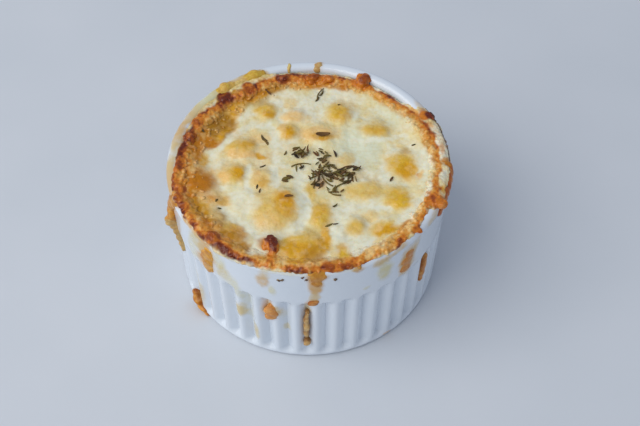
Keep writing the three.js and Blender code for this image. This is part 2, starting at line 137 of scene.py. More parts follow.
# Domes and hollows of the cheese over the macaroni: x, y, radius, height.
BUMPS = [
    (-35.5, -8.5, 5, 0.9), (-31, -16, 3.5, 0.6), (-24, -4.5, 3.8, 0.9), (-21.5, 6.5, 4.4, 1),
    (-30, 12.5, 3.4, 0.5), (-28.5, 18.5, 4.6, -0.9), (-24, 29, 3.8, 0.7), (-14, 23, 3.4, 0.8),
    (-4.5, 20.5, 3.6, 0.8), (-6.5, 13.5, 3.2, 0.9), (4, 12.5, 4.6, 0.8), (10.5, 22, 4.4, 0.9),
    (22.5, 14.5, 4.4, 0.7), (30.5, 0, 5.2, 1), (28, -15, 4.6, 0.9), (18.5, -12, 5, 0.6),
    (-9.5, -19.5, 7.6, 1.4), (-15, -7, 4, 0.7), (-20, -17, 5, 0.6), (4, -22, 4.4, 0.7),
    (-2, -34.5, 5.6, 1.1), (-12, -34.4, 4.4, 1), (14, -26.5, 3.4, 0.7), (24, -27, 4.2, 0.9),
    (8, -30, 3.6, 0.6), (-23.5, -30, 4.4, -0.6), (20, 5, 7, -0.6), (30, 26, 5, 0.5),
    (-34, 2, 4, -0.4),
]

# Browned and pale places of the cheese, and some places of painted sheen and painted shade: x, y,
# half width, half depth, turn, tone, strength.
PATCHES = [
    (-22, 4, 9, 10, 0, "cream", 0.5), (-15, -6, 7, 8, 0, "cream", 0.4),
    (-10, -20, 9, 9, 0, "cream", 0.5), (2, 15, 12, 7, 0, "cream", 0.35),
    (-1.4, -2.4, 3, 2, 0, "white", 0.7), (8.4, -29, 3, 5, 0, "white", 0.85),
    (-21, -17, 5.6, 6.6, 0, "white", 0.6), (-0.5, 27, 5.4, 3.8, 0, "white", 0.75),
    # The milky patches are whitish cheese with a painted sheen of reflected light.
    (17.6, 8, 9, 11, 0, "milky", 0.85), (-14, -30, 4, 2.4, 20, "white", 0.6),
    (27, 20, 7, 5, 330, "milky", 0.5), (13, 30, 7, 4, 340, "white", 0.5),
    (-22, 21, 4, 3, 30, "white", 0.6), (19, -19, 5, 3, 10, "white", 0.6),
    (33, -20, 3.6, 4, 0, "white", 0.6), (35.4, 4, 2.6, 6, 0, "white", 0.6),
    (-35.3, -7, 5.6, 5.8, 20, "amber", 1), (-36.5, -14.5, 3.4, 3, 0, "olive", 0.85),
    (-33.5, -4.6, 3, 1.6, 30, "peach", 0.6), (-29.5, 17, 5.4, 6, 25, "olive", 1),
    (-33, 18, 3, 3.4, 20, "moss", 0.8), (-26.5, 22, 3, 4, 0, "gold", 0.6),
    (-32, 9, 4.4, 2.4, 10, "amber", 1), (-31.2, 3.8, 2.2, 2.6, 0, "white", 0.8),
    (-14.4, 23.6, 3.8, 4, 0, "yellow", 0.9), (-13.4, 22, 2.6, 2.2, 0, "gold", 1),
    (-18, 28, 5, 2.6, 20, "moss", 0.5), (-24, 29.5, 5.4, 3, 35, "olive", 0.85),
    (-22, 7, 5.6, 4, 10, "yellow", 0.75), (-20, 8.4, 2.8, 2.4, 20, "gold", 0.75),
    (-24.4, 4.6, 3, 1.6, 20, "peach", 0.9), (-21, 3.2, 4, 1.5, 10, "peach", 0.9),
    (-25, -4.8, 5, 4.4, 0, "yellow", 0.7), (-22.4, -4.4, 2.4, 3.6, 15, "gold", 1),
    (-27, -5.6, 2.4, 2.8, 0, "peach", 0.8), (-16, 11.6, 5, 2.6, 0, "peach", 0.5),
    (-7, 13.4, 3.6, 4, 0, "yellow", 0.8), (-6.2, 12.6, 2.2, 2.8, 0, "gold", 1),
    (-8.8, 14.6, 1.6, 2.6, 0, "peach", 0.8), (-4.8, 20.6, 4.6, 3, 0, "peach", 0.85),
    (-6, 27, 2.6, 2.4, 0, "cream", 0.6), (3.2, 12.8, 6.6, 3, 0, "peach", 0.85),
    (4.6, 11.6, 4, 1.6, 0, "gold", 0.8), (10.6, 22.4, 4.4, 5.4, 340, "yellow", 0.85),
    (11.6, 21, 2.4, 3.4, 0, "gold", 0.55), (22.4, 14.4, 5.4, 4, 0, "yellow", 0.85),
    (22.6, 14.2, 2.6, 1.6, 0, "gold", 0.5), (30.2, -1.6, 5, 6, 0, "yellow", 0.95),
    (31.4, -3.6, 3, 3.4, 20, "gold", 0.9), (31.4, 4.8, 2.2, 1.8, 0, "olive", 0.4),
    (27.6, -15.4, 4.8, 5.4, 0, "yellow", 0.9), (29, -16, 2.4, 3.4, 0, "gold", 0.4),
    (18, -12, 8, 3.6, 5, "yellow", 0.65), (35, -6.2, 1.2, 1, 0, "orange", 0.7),
    (-11.4, -20.4, 7, 8.4, 0, "yellow", 0.6), (-7.6, -18, 3.4, 6.4, 8, "gold", 0.8),
    (-7.2, -15.4, 2.6, 3, 0, "gold", 0.5), (-13.4, -24, 4, 3.4, 0, "peach", 0.45),
    (-14.8, -7, 3.6, 4.6, 10, "cream", 0.9), (-14.4, -8.4, 2.4, 2.8, 0, "gold", 0.6),
    (-16.6, -5.6, 1.4, 3, 0, "peach", 0.7), (-15.6, 3, 2.2, 1.3, 340, "gold", 1),
    (3.6, -22, 4, 6.4, 0, "yellow", 0.9), (3, -20, 2, 3.4, 0, "gold", 0.4),
    (-3, -33.4, 9.4, 5, 0, "yellow", 0.9), (-2.4, -35.4, 7, 2.6, 0, "gold", 0.7),
    (4.8, -31, 1.8, 5.4, 0, "gold", 0.85), (14.2, -27, 3, 3.8, 0, "yellow", 0.85),
    (23.4, -27.4, 5.6, 3.4, 10, "yellow", 0.9), (24, -28.4, 4, 1.8, 10, "gold", 0.7),
    (10.4, -36.4, 2.6, 2.8, 10, "gold", 0.85), (19, -22.8, 3, 2.4, 0, "cream", 0.8),
    (-30, -15, 5.4, 4.4, 300, "peach", 0.7), (-27, -15.6, 2.4, 2.4, 0, "gold", 0.6),
    (-28.6, -24, 4.4, 4, 310, "olive", 0.8), (-23.5, -30, 5, 5, 0, "olive", 0.8),
    (-24, -27, 3, 3, 0, "yellow", 0.6), (12.2, 0.6, 2.8, 3.4, 0, "yellow", 0.55),
    (0.8, -12.8, 2.2, 4.2, 0, "yellow", 0.7), (3.6, -9.4, 2, 3, 0, "toast", 0.5),
    (-18, 33, 6, 2.8, 25, "olive", 0.7), (3, 36.4, 9, 2.6, 0, "toast", 0.6),
    (-23.8, 13.2, 2, 2, 0, "peach", 0.9), (-31, -15, 2.4, 2.2, 0, "toast", 0.85),
    (-6.8, -17, 2.4, 4.4, 8, "gold", 0.9), (-7, -15, 1.8, 2.2, 0, "amber", 0.6),
    # The deep patch is the olive-brown of a hollow, darkened further as painted shade.
    (-28.6, 18, 3.2, 3.2, 0, "deep", 0.95), (-29.5, 12.4, 3, 2.4, 0, "olive", 0.9),
    (30.2, -1.2, 2.6, 3, 0, "yellow", 0.4), (10.5, 22.4, 2.4, 3, 0, "yellow", 0.4),
    (-23.5, -29.6, 4, 3.4, 0, "toast", 0.55), (33, -8.4, 1.8, 2.2, 0, "cream", 0.7),
    # The milky patch in the hollow at (-35.9, -16.4) is a painted highlight.
    (-35.9, -16.4, 1.5, 1, 20, "milky", 0.6), (-17.4, -17.4, 2.8, 2.8, 0, "white", 0.45),
    (15, -20, 3, 2, 0, "pale", 0.5), (-1.5, -17.6, 1.6, 4.4, 0, "white", 0.9),
]

# White strings of cheese between the domes: width, then the points along each.
WHITE_STRINGS = [
    (3.6, [(-3.6, -4), (-2.8, -12), (-1.4, -18), (-1.8, -24), (-4.4, -28), (-9, -29.6)]),
    (3, [(-29, 6.5), (-24.8, 12.4), (-18.4, 17.2), (-14, 16.8), (-11, 12), (-10.6, 5),
         (-10.8, -9)]),
    (2, [(14, 10), (19, 9), (26, 10), (33, 12)]), (2.2, [(-19, -1), (-19.6, -9), (-18.4, -14)]),
    (2, [(11, -20), (17, -18.5), (25, -20)]), (2.6, [(-27, -19), (-22, -24), (-17, -29.6)]),
]

# Browned and pale places beside the crust, and some of painted shade: angle, radius, half length
# along the rim, half width across it, skew, tone, strength.
RIM_PATCHES = [
    (38, 39, 3.6, 1, 0, "gold", 0.8), (30, 41, 2.4, 1.4, 0, "cream", 0.7),
    (15, 42.8, 4, 1.4, 0, "ivory", 0.9), (72, 36.4, 4.2, 2.4, 0, "amber", 0.9),
    (85, 36.2, 4.6, 2.8, 0, "amber", 1), (94, 35.8, 3.8, 2.8, 0, "toast", 0.85),
    # The deep patch at 111.5 degrees is painted shadow beside the crust.
    (110, 36.6, 2.8, 1.8, 0, "amber", 0.8), (111.5, 35.4, 1.6, 1.2, 0, "deep", 0.8),
    (118, 37.2, 4.6, 2, 0, "olive", 0.8), (127, 38, 4.8, 1.2, 0, "peach", 0.8),
    (125, 35.8, 5.2, 2.2, 10, "amber", 0.95), (134, 34, 5.6, 2.6, 15, "gold", 0.8),
    (145, 36.4, 5.4, 3, 10, "olive", 1), (152, 33.8, 6.6, 4.4, 10, "olive", 0.95),
    (156, 31.3, 3.2, 1.6, 0, "gold", 0.9), (165, 34.4, 3, 3, 0, "amber", 1),
    # The deep patch at 120 degrees is painted shade beside the crust.
    (120, 36.4, 4, 1.4, 0, "deep", 0.4), (160, 38.3, 5.4, 1.8, 0, "amber", 0.9),
    (171, 38.6, 5, 2, 0, "olive", 0.95), (174, 36.8, 4.4, 2.4, 0, "amber", 0.95),
    (183, 39.8, 3.4, 2, 0, "orange", 0.8), (187, 37.2, 2.6, 1.4, 0, "peach", 0.85),
    (193, 36.2, 5.4, 5, 0, "amber", 1), (202, 40.6, 4.4, 2.4, 0, "amber", 0.95),
    (206, 40, 2.2, 1.3, 0, "olive", 0.9), (206, 36.6, 3.6, 1.8, 0, "peach", 0.85),
    (213, 40, 5.8, 3, 0, "olive", 1), (212, 37.4, 4.4, 1.8, 0, "gold", 0.7),
    (217, 36.2, 3.6, 1.5, 0, "cream", 0.6), (222, 41, 4.4, 2.4, 10, "amber", 0.95),
    (229, 41.4, 4.6, 2.2, 0, "toast", 0.9), (231, 39.2, 4.4, 2, 10, "olive", 0.9),
    (240, 42, 4.4, 2.6, 10, "olive", 0.9), (241, 44.6, 3, 0.8, 0, "toast", 0.7),
    (244.5, 38.4, 1.4, 4.6, 10, "white", 0.9), (249, 36.4, 3.6, 3.6, 0, "amber", 0.9),
    (253.5, 40.6, 1.7, 4, 0, "toast", 0.95), (263, 40.6, 6, 2.8, 0, "gold", 0.95),
    (266, 43.4, 5.6, 0.9, 0, "peach", 0.85), (258, 43.4, 2.6, 0.8, 0, "cream", 0.6),
    (264, 36, 7, 3.2, 0, "gold", 0.9), (259, 40.8, 1.2, 3, 0, "peach", 0.7),
    (272, 38.8, 4, 4.8, 0, "olive", 0.75), (277, 34, 3, 3, 0, "gold", 0.9),
    (284, 40.6, 2, 3.4, 340, "yellow", 0.9), (280.5, 38.4, 1, 4.4, 0, "cream", 0.7),
    (281, 42.6, 4, 1, 0, "amber", 0.8), (289.5, 40.2, 2.6, 3, 340, "white", 0.85),
    (295, 42, 3, 1.2, 0, "peach", 0.8), (300, 38.4, 3, 2.6, 0, "white", 0.7),
    (303, 41.8, 3, 0.8, 0, "toast", 0.5), (309, 38, 4.4, 2.6, 340, "gold", 1),
    (307.5, 35, 2, 1.4, 0, "peach", 0.8), (320, 38.2, 4.6, 2.4, 0, "white", 0.8),
    (317, 41, 3, 1.2, 0, "amber", 0.9), (326, 40.6, 3, 1, 0, "cream", 0.8),
    (331, 33.5, 4, 1.9, 0, "yellow", 0.9), (339, 39.6, 5.4, 1.4, 0, "white", 0.8),
    (345, 41.2, 3.4, 0.9, 0, "toast", 0.7), (350, 36.2, 2.4, 1, 0, "peach", 0.85),
    (353, 32.4, 4.4, 1.9, 0, "gold", 0.95), (357, 38, 3, 1.5, 0, "white", 0.7),
    (2, 40, 4, 1, 0, "toast", 0.7), (20, 38.6, 4, 1, 0, "cream", 0.8),
    (50, 37.6, 5, 1.6, 0, "toast", 0.5), (38, 37, 4, 1.6, 0, "gold", 0.4),
    (106, 36.2, 3.4, 2, 0, "amber", 0.7), (119, 34.8, 4, 1.8, 10, "gold", 0.7),
    (178, 34.4, 3, 2, 0, "gold", 0.8), (272, 42.6, 4, 1, 0, "peach", 0.7),
    (304, 39.6, 3, 1.4, 0, "cream", 0.7), (62, 37, 5, 1.6, 0, "gold", 0.6),
    (75, 36.4, 5, 2, 0, "amber", 0.6), (107, 36, 3.4, 2.2, 0, "olive", 0.5),
    (121, 35.6, 6, 2, 0, "amber", 0.7), (165, 37, 5, 2.2, 0, "amber", 0.75),
    (196, 45, 6, 1, 0, "toast", 0.7), (211, 45.3, 5, 0.9, 0, "toast", 0.5),
    (226, 45.4, 6, 1, 0, "toast", 0.7), (241, 45.6, 5, 0.9, 0, "toast", 0.7),
    (48, 37, 4, 1.4, 0, "gold", 0.4), (112, 41.8, 6, 1.5, 0, "straw", 0.9),
    (126, 41.8, 6, 1.5, 0, "straw", 0.9), (140, 41.8, 6, 1.5, 0, "straw", 0.9),
    (154, 42, 6, 1.4, 0, "ochre", 0.9), (166, 42.6, 5, 1.3, 0, "honey", 0.8),
    (178, 43.3, 5, 1.2, 0, "honey", 0.8), (12, 44.6, 5, 1.6, 0, "ivory", 0.8),
    (4, 43.4, 3, 1, 0, "orange", 0.6), (7, 45.4, 1.4, 0.8, 0, "brown", 0.8),
    (356.4, 44.6, 2, 1.8, 0, "amber", 1), (349, 44.2, 2.4, 1.6, 0, "white", 0.95),
    (341.5, 44.8, 2, 1.8, 0, "gold", 0.9), (334, 44.8, 3, 2, 0, "rust", 0.9),
    (26, 43.6, 2.4, 1.4, 0, "brown", 0.8), (19, 42.8, 1.8, 1, 0, "toast", 0.7),
    (28, 41.4, 2.6, 1, 0, "toast", 0.8),
]

# How far the toasted tint reaches inside the crust: angle, width.
TOASTED_EDGE = [
    (0, 3.2), (15, 3.6), (30, 3.2), (55, 2.8), (64, 4.2), (75, 5.8), (80, 5.4), (87, 7.2),
    (95, 6.4), (102, 5.4), (110, 7), (120, 8), (130, 8), (140, 8.4), (150, 9), (165, 9.6),
    (172, 7), (178, 6), (186, 10), (200, 11), (208, 9), (216, 8), (226, 7.5), (234, 7), (241, 5),
    (245, 2.4), (252, 6), (275, 7), (282, 4.4), (290, 2), (300, 1.8), (306, 3), (312, 3),
    (320, 2), (340, 1.8), (355, 2),
]

# How high the cheese stands where it meets the bore: angle, height.
CRUST_HEIGHT = [
    (0, 49.6), (24, 49.8), (36, 48.4), (57, 48.2), (90, 48.4), (104, 49.2), (118, 49.5),
    (135, 49.4), (165, 49.6), (190, 49.8), (215, 49.9), (270, 49.9), (325, 49.8), (338, 50.2),
    (350, 49.7),
]

# How far out the cheese round the crust spreads on the rim: angle, distance from the rim's crown.
CRUST_SPREAD = [
    (0, 2.9), (8, 2.7), (16, 2.2), (24, 2.9), (30, 2.5), (33, -1), (40, -3), (105, -3),
    (110, -1.2), (150, -0.9), (185, -0.9), (190, -3), (326, -3), (330, 1.5), (334, 3.4),
    (340, 3.6), (343, 1.9), (346, 2.6), (350, 3.4), (355, 3.2),
]

# The crust: angle, radius of its middle, half width, how far it is toasted.
CRUST_LINE = [
    (0, 41.2, 1.1, 0.35), (5, 41.3, 1.2, 0.5), (12, 40.8, 1.2, 0.25), (19, 40.2, 1.5, 0.45),
    (24, 40.6, 1.8, 0.55), (30, 39.8, 1.2, 0.2), (38, 39.3, 1.2, 0.35), (47, 39.2, 1.3, 0.7),
    (53, 39.1, 0.7, 0.45), (60, 39.6, 2.1, 0.65), (67, 38.8, 0.9, 0.5), (75, 38.8, 1.2, 0.55),
    (82, 38.8, 1.5, 0.65), (88, 38.6, 1.4, 0.75), (95, 38.6, 1.5, 0.7), (102, 38.7, 1.7, 1),
    (107, 38.6, 1.2, 0.65), (114, 38, 1.3, 0.6), (122, 38, 1.5, 0.75), (130, 38, 1.5, 0.55),
    (138, 38.7, 1.6, 1.25), (145, 38.8, 1.5, 0.55), (152, 39.3, 1.5, 0.5), (160, 40, 1.5, 0.85),
    (169, 40.9, 1.5, 1.3), (176, 41.4, 1.5, 1.05), (183, 41.8, 1.6, 0.7), (190, 42.8, 1.4, 0.5),
    (198, 43.9, 1.6, 0.65), (206, 44.1, 1.6, 0.8), (214, 44.2, 1.6, 0.75), (222, 44.4, 1.5, 0.65),
    (229, 44.3, 1.9, 0.95), (236, 45, 1.4, 1), (244, 45, 1.1, 0.95), (252, 44.9, 1, 0.6),
    (262, 44.8, 1, 0.45), (270, 45, 0.9, 0.6), (277, 44.8, 1, 0.8), (285, 44.6, 1.2, 0.7),
    (292, 44.2, 1.4, 0.4), (297, 43.9, 1.5, 0.3), (302, 44.2, 1.5, 0.4), (310, 43.9, 1.7, 0.25),
    (316, 43.6, 1.9, 0.1), (322, 43, 1.8, 0.05), (328, 42.4, 1.2, 0), (335, 43.2, 2, 0.3),
    (341, 42.3, 1.4, 0.05), (348, 42, 1.2, 0.1), (355, 41.8, 1.1, 0.15),
]
CRUST_SKIRT = 1.1  # how far the crust runs under the cheese inside it

# Burnt beads and lumps: x, y, z, half length, half width, half height, turn, toast.
LUMPS = [
    (-11.8, -34, 50.2, 2.2, 1.9, 1.7, 30, 1.4), (-11, -35.6, 50.1, 2.2, 2, 1.6, 60, 1.3),
    (-10.9, -37.2, 49.7, 1.8, 1.6, 1.1, 80, 1.05), (-13.2, -35.8, 49.5, 1.9, 1.5, 1.1, 60, 0.55),
    (-8.6, -36.4, 48.8, 2.4, 1.8, 0.8, 20, 0.3), (-11.3, -39.4, 49.3, 1.6, 1, 0.7, 95, 0.5),
    (-11.6, -41.8, 49.7, 1.6, 0.9, 0.5, 95, 0.6), (19.2, 36.2, 49.3, 3.8, 3, 2, 62, 0.75),
    (40, -19.2, 50.1, 2.7, 2.3, 1.3, 336, 0.7), (41.6, -19.8, 49.8, 2, 2.2, 1.2, 336, 0.6),
    (39, 18, 49.8, 2, 1.3, 0.6, 110, 0.6), (41.6, 18.4, 49.9, 2.2, 0.7, 0.4, 115, 1.25),
    (-28.2, 28.2, 49.1, 2.7, 1.6, 1, 40, 1.2), (-8.5, 37.8, 49.1, 2.6, 1.6, 1.1, 160, 1.05),
    (1.5, 38, 49, 3, 1.7, 1.3, 10, 0.8), (7, 37.4, 48.8, 2.4, 1.5, 1.1, 350, 0.7),
    (-38.6, 9.6, 49.9, 2.6, 1.5, 1.1, 105, 0.95), (-29.4, -32.4, 50.3, 2.4, 1.6, 1, 315, 0.95),
    (5.4, -44.5, 50, 2.2, 0.7, 0.6, 5, 0.9), (33.6, -30.2, 49.7, 1.9, 1.6, 0.5, 318, 0.7),
    (-20.5, 33.2, 48.8, 2.2, 1.3, 0.8, 150, 0.9), (-36.8, 16.6, 49.4, 2.2, 1.2, 0.8, 115, 0.6),
    (-42, -3, 50, 2.4, 1.1, 0.8, 95, 0.75), (-40.4, -12.8, 50, 2, 1.1, 0.8, 110, 0.7),
]
LUMP_BEADS = 12
# Hairlines and specks of burnt cheese: first angle, last angle, distance from the rim's crown.
BURNT_EDGES = [
    (-7, 10, 3), (9, 30, 2.6), (-18, -9, 3.3), (257.4, 258.6, 6.9), (259.4, 260, 6.2),
    (267, 268, 4.4), (268.4, 269.4, 5.4), (279.6, 280.2, 6.1),
]
BAND_SEGMENTS = (720, 24)  # round the dish and round the band's own section
CRAG_VOXEL = 0.3
CRUST_SMOOTHING = 3
THIN_LACE = 35  # angle each side of the front where the crust has little lace
# What the crust turns as it is toasted: tone, where that starts, where it is full.
TOAST_STEPS = [
    ("toast", -0.3, 0.15), ("orange", 0.2, 0.5), ("brown", 0.6, 0.9), ("dark", 0.9, 1.15),
]

# Cheese that ran over the rim and down the outside. Each run has the tone of its middle and how
# dark its edge is, then its beads: angle, distance down from the rim's crown, half width, half
# height, thickness.
RUNS = [
    ("honey", 0, [(272.4, 2.2, 3.2, 1.6, 0.35), (273, 4.6, 2.6, 2.2, 0.35),
                  (272.8, 7.6, 1.8, 2, 0.25)]),
    ("apricot", 0.4, [(271, 18.6, 1.9, 1.5, 0.6), (272.4, 17.8, 1.2, 0.9, 0.4)]),
    ("ochre", 0.5, [(268.8, 25.6, 0.8, 2.2, 0.25), (268.5, 29, 1, 2.4, 0.4),
                    (268.4, 33, 1.1, 2.8, 0.45), (268.4, 37, 1, 2.6, 0.4),
                    (268.5, 42.4, 1.3, 1.9, 0.6)]),
    ("apricot", -0.1, [(254.4, 23.8, 1.6, 1.6, 0.4), (254.2, 26.4, 2.4, 2.3, 0.8),
                       (253.6, 28.8, 1.9, 1.9, 0.7)]),
    ("honey", -0.25, [(227, 7.4, 2, 1.8, 0.4), (226, 10, 2.9, 2.6, 0.7),
                      (225.2, 13, 3, 2.8, 0.8), (225.2, 16.4, 2.8, 2.6, 0.6)]),
    ("amber", 0.4, [(209, 46, 1.8, 1.7, 1.1), (210.8, 47.8, 2.6, 1.9, 1.8)]),
    ("toast", 0.4, [(213.6, 49.6, 2.8, 1.4, 1.5), (217, 50.8, 1.8, 0.8, 0.8)]),
    ("apricot", 0, [(312.8, 9, 2, 2, 0.35), (312, 12.2, 2.7, 2.7, 0.55),
                    (311.4, 15.6, 2.3, 2.3, 0.6)]),
    ("apricot", 0.3, [(326.6, 22.6, 0.9, 1.8, 0.35), (326, 26.4, 1.4, 2.8, 0.5),
                      (325.2, 30, 1.6, 2.4, 0.6), (324.6, 32.8, 1, 1.4, 0.5)]),
    ("honey", 0.2, [(201.4, 2, 3, 1.9, 0.4), (199.4, 4.8, 3, 2.2, 0.6), (197, 7.6, 2.8, 2.2, 1),
                    (196, 10, 2.8, 1.9, 1.5), (196.4, 11.8, 2.6, 1.9, 2.1),
                    (197, 13.4, 2.2, 1.7, 2.3)]),
    ("ochre", 0.1, [(197, 15, 1.9, 1.6, 3.6), (197.6, 16.4, 1.6, 1.6, 3.6),
                    (198.4, 18, 1.3, 1.6, 2.4)]),
    ("ochre", 0, [(199, 20.2, 1.1, 2, 1.8), (199.6, 23, 1, 2.2, 1.3),
                  (200.2, 26, 0.9, 1.9, 0.8), (200.8, 28.4, 0.6, 1.5, 0.4)]),
    ("amber", 0.2, [(356.4, 1, 1.4, 2.4, 0.5), (355.8, 3.4, 1.8, 2, 1)]),
    ("rust", 0.2, [(353.6, 4.2, 2.6, 2.4, 1.2), (350, 4.4, 2.4, 2.4, 1.1),
                   (346.6, 4.4, 2.3, 2.4, 1), (343, 4.2, 2.2, 2.3, 0.9),
                   (339.6, 4, 2.2, 2.2, 0.9)]),
    ("rust", 0.3, [(336, 3.8, 2.4, 2.2, 0.9), (333.4, 5, 2, 1.8, 0.8)]),
    ("butter", 0, [(112, -1.6, 2, 2.2, 0.6), (115, -0.8, 3, 3.2, 1.3),
                   (118.4, -1.2, 2.2, 2.6, 0.8), (127.6, -1, 2.2, 2.4, 0.7),
                   (130.8, -0.6, 2.6, 3.1, 1.2), (133.6, -0.8, 1.8, 2.2, 0.6)]),
    ("straw", 0, [(121.6, -1.8, 2, 1.6, 0.5), (124.8, -1.6, 2.2, 1.8, 0.5)]),
    ("ochre", 0.1, [(85.4, -2, 1.5, 1.7, 0.35), (84.9, 0, 1.7, 1.5, 0.4),
                    (84.4, 1.6, 1.2, 1, 0.3)]),
    ("straw", 0.2, [(98.8, -1.8, 0.7, 1.5, 0.5), (98.1, 0.2, 0.55, 1.6, 0.5)]),
    ("honey", 0.3, [(289, 1.8, 1.1, 1.1, 0.35), (289.2, 3, 0.8, 1, 0.3)]),
]
RUN_ROOT = 2.7  # how far a run reaches into the wall, past the depth of the grooves
RUN_VOXEL = 0.3
RUN_SMOOTHING = 8

# Where thyme lies: x, y, spread in x, spread in y, number of leaves, direction and its scatter.
THYME_CLUMPS = [
    (-2.4, 3.4, 2.2, 2, 20, 20, 60), (3, -5.5, 2, 3, 18, 100, 70),
    (7.5, -6.5, 2.6, 1.6, 12, 170, 50), (12, -7.5, 2.4, 2, 12, 30, 60),
    (14.4, -3.6, 2.4, 1, 7, 10, 40), (6.5, -2.6, 2.8, 1.6, 9, 150, 60),
    (8, -12.4, 2.4, 1, 6, 20, 60), (3.6, 4.4, 2.6, 1.2, 6, 40, 90),
    (10.5, -3.6, 2.6, 1.6, 5, 165, 40), (3.4, -9.5, 1.6, 1.6, 6, 60, 60),
    (9, 3, 0.8, 1, 2, 100, 30), (4.6, 0.8, 2.6, 1.2, 6, 25, 20), (-3.4, -2.6, 1, 0.6, 4, 30, 50),
]
# Single leaves: x, y, direction, length, width beside the length.
LONE_THYME = [
    (-14.8, 10.8, 125, 3.4, 0.3), (-13.6, 9, 118, 3, 0.3), (-7.4, 4, 70, 2, 0.3),
    (-4, 6.3, 20, 2.6, 0.3), (-7.2, -7, 20, 3, 0.4), (-6, -6.2, 160, 2.4, 0.36),
    (-7.6, -8, 170, 2.2, 0.4), (-6.3, -14.3, 5, 2.8, 0.3), (26.6, -7.6, 60, 2.2, 0.3),
    (8.2, -18.5, 40, 2, 0.3), (6.2, -26.2, 30, 2.8, 0.24), (8.2, -25.8, 10, 1.8, 0.24),
    (-14.8, -1.6, 30, 2.2, 0.24), (-16.4, -10.2, 80, 1.6, 0.3), (-15.6, -12, 75, 1.6, 0.3),
    (-29, -15.6, 60, 1.4, 0.4), (-28, -19, 0, 1.2, 0.4), (-13.4, 32, 130, 3, 0.2),
    (-35, 14.6, 120, 2.2, 0.3), (34.6, 7, 10, 1.4, 0.3), (4.9, 31.4, 66, 3.6, 0.16),
    (3.4, 28.6, 60, 2.6, 0.22), (4.9, 11.8, 6, 4.8, 0.34), (10.6, 25.6, 0, 1, 0.4),
]
# Stems: x, y, direction, length.
THYME_STEMS = [
    (4.4, 31, 68, 6), (-2.4, -1.6, 8, 6.4), (8, -13, 150, 5), (2.6, -9.4, 62, 4.4),
    (13, -3.4, 12, 7), (6, -8, 125, 6), (11, -10, 20, 5), (9, -5, 160, 7), (5, -3, 40, 5),
]
LEAF_THICKNESS = 0.2
STEM_RADIUS = 0.2
STEM_CUTS = (-0.66, -0.33, 0.33, 0.66)  # where a stem can bend, in shares of its half length
THYME_DARK = (48, 38, 28)
THYME_OLIVE = (112, 100, 38)
THYME_BROWN = (112, 66, 32)

# Camera, light and floor
CAMERA_PAN = 0.010  # radians that the camera is turned away from the dish's foot
CAMERA_TILT = 0.034
CAMERA_ROLL = -0.012
CAMERA_LENS = 61.875
WINDOW_DISTANCE = 1.8  # in metres, as its size and the floor's
WINDOW_SIZE = 1.8
WINDOW_COLOUR = (1.0, 0.985, 0.95)
SKY_COLOUR = (0.84, 0.92, 1.08)
SENSOR_WIDTH = 36
NEAR_CLIP = 0.01
FLOOR_SIZE = 4
FLOOR_DROP = 0.02  # in millimetres

# Tones of the food, as seen in even daylight; the milky tone also holds a painted sheen and the
# deep tone painted shade.
TONES = {
    # milky is whitish cheese with a painted sheen
    "white": (242, 240, 216), "milky": (232, 235, 208), "pale": (238, 228, 180),
    "cream": (242, 214, 146), "peach": (244, 202, 130), "yellow": (228, 184, 48),
    "gold": (224, 166, 26), "toast": (226, 158, 64), "amber": (198, 124, 10),
    "olive": (180, 126, 18), "moss": (178, 148, 76), "orange": (212, 126, 34),
    # deep is the olive-brown of the hollows, darkened further as painted shade
    "brown": (164, 82, 20), "dark": (110, 40, 10), "deep": (140, 94, 20),
    "honey": (208, 146, 46), "ochre": (208, 176, 116), "apricot": (212, 146, 74),
    "rust": (196, 110, 40), "straw": (228, 204, 128), "butter": (220, 184, 74),
    "ivory": (236, 226, 196), "burnt": (78, 50, 36),
}


def srgb(red, green, blue):
    """A colour of 0 to 255 for each channel, as the linear colour that a shader takes."""
    shares = np.array((red, green, blue)) / 255
    return tuple(np.where(shares <= 0.04045, shares / 12.92, ((shares + 0.055) / 1.055) ** 2.4))


def blend(low, high, share):
    return low + (high - low) * share


def smoothstep(low, high, value):
    t = np.clip((value - low) / (high - low), 0, 1)
    return t * t * (3 - 2 * t)


def round_the_dish(rows, angle, column=1):
    """A value read off a list of rows, each an angle and its values, that runs once round."""
    table = np.transpose(rows)
    return np.interp(angle, table[0], table[column], period=TURN)


def polar(x, y):
    return np.hypot(x, y), np.degrees(np.arctan2(y, x)) % TURN


def polar_of(places):
    """Radius and angle of places about the dish's axis."""
    return polar(places[:, 0], places[:, 1])


def on_plan(x, y):
    return np.column_stack((x, y, np.zeros(len(x))))


def angle_between(a, b):
    """The shorter way from b to a."""
    return (a - b + TURN / 2) % TURN - TURN / 2


def scramble(cells, seed):
    """Numbers from 0 to 1 on whole-number places, the same each time."""
    mixed = cells[..., 0] * 73856093 ^ cells[..., 1] * 19349663 ^ cells[..., 2] * 83492791
    mixed = (mixed ^ seed * 1013904223) * 1274126177
    mixed = (mixed ^ mixed >> 15) * 1911520717
    return (mixed >> 13 & 0xFFFF) / 0xFFFF


def noise(places, size, seed=0):
    """Soft noise from -1 to 1 whose blobs are about that size."""
    scaled = places / size
    cell = np.floor(scaled).astype(np.int64)
    t = scaled - cell
    t = t * t * (3 - 2 * t)
    total = 0
    for corner in itertools.product((0, 1), repeat=3):
        weight = np.prod(np.where(corner, t, 1 - t), axis=1)
        total = total + weight * scramble(cell + np.array(corner), seed)
    return 2 * total - 1


def layered_noise(places, size, seed=0, layers=3):
    """Noise with finer and fainter noise on it."""
    total = sum(noise(places, size / 2 ** i, seed + i) / 2 ** i for i in range(layers))
    return total / (2 - 2 ** (1 - layers))


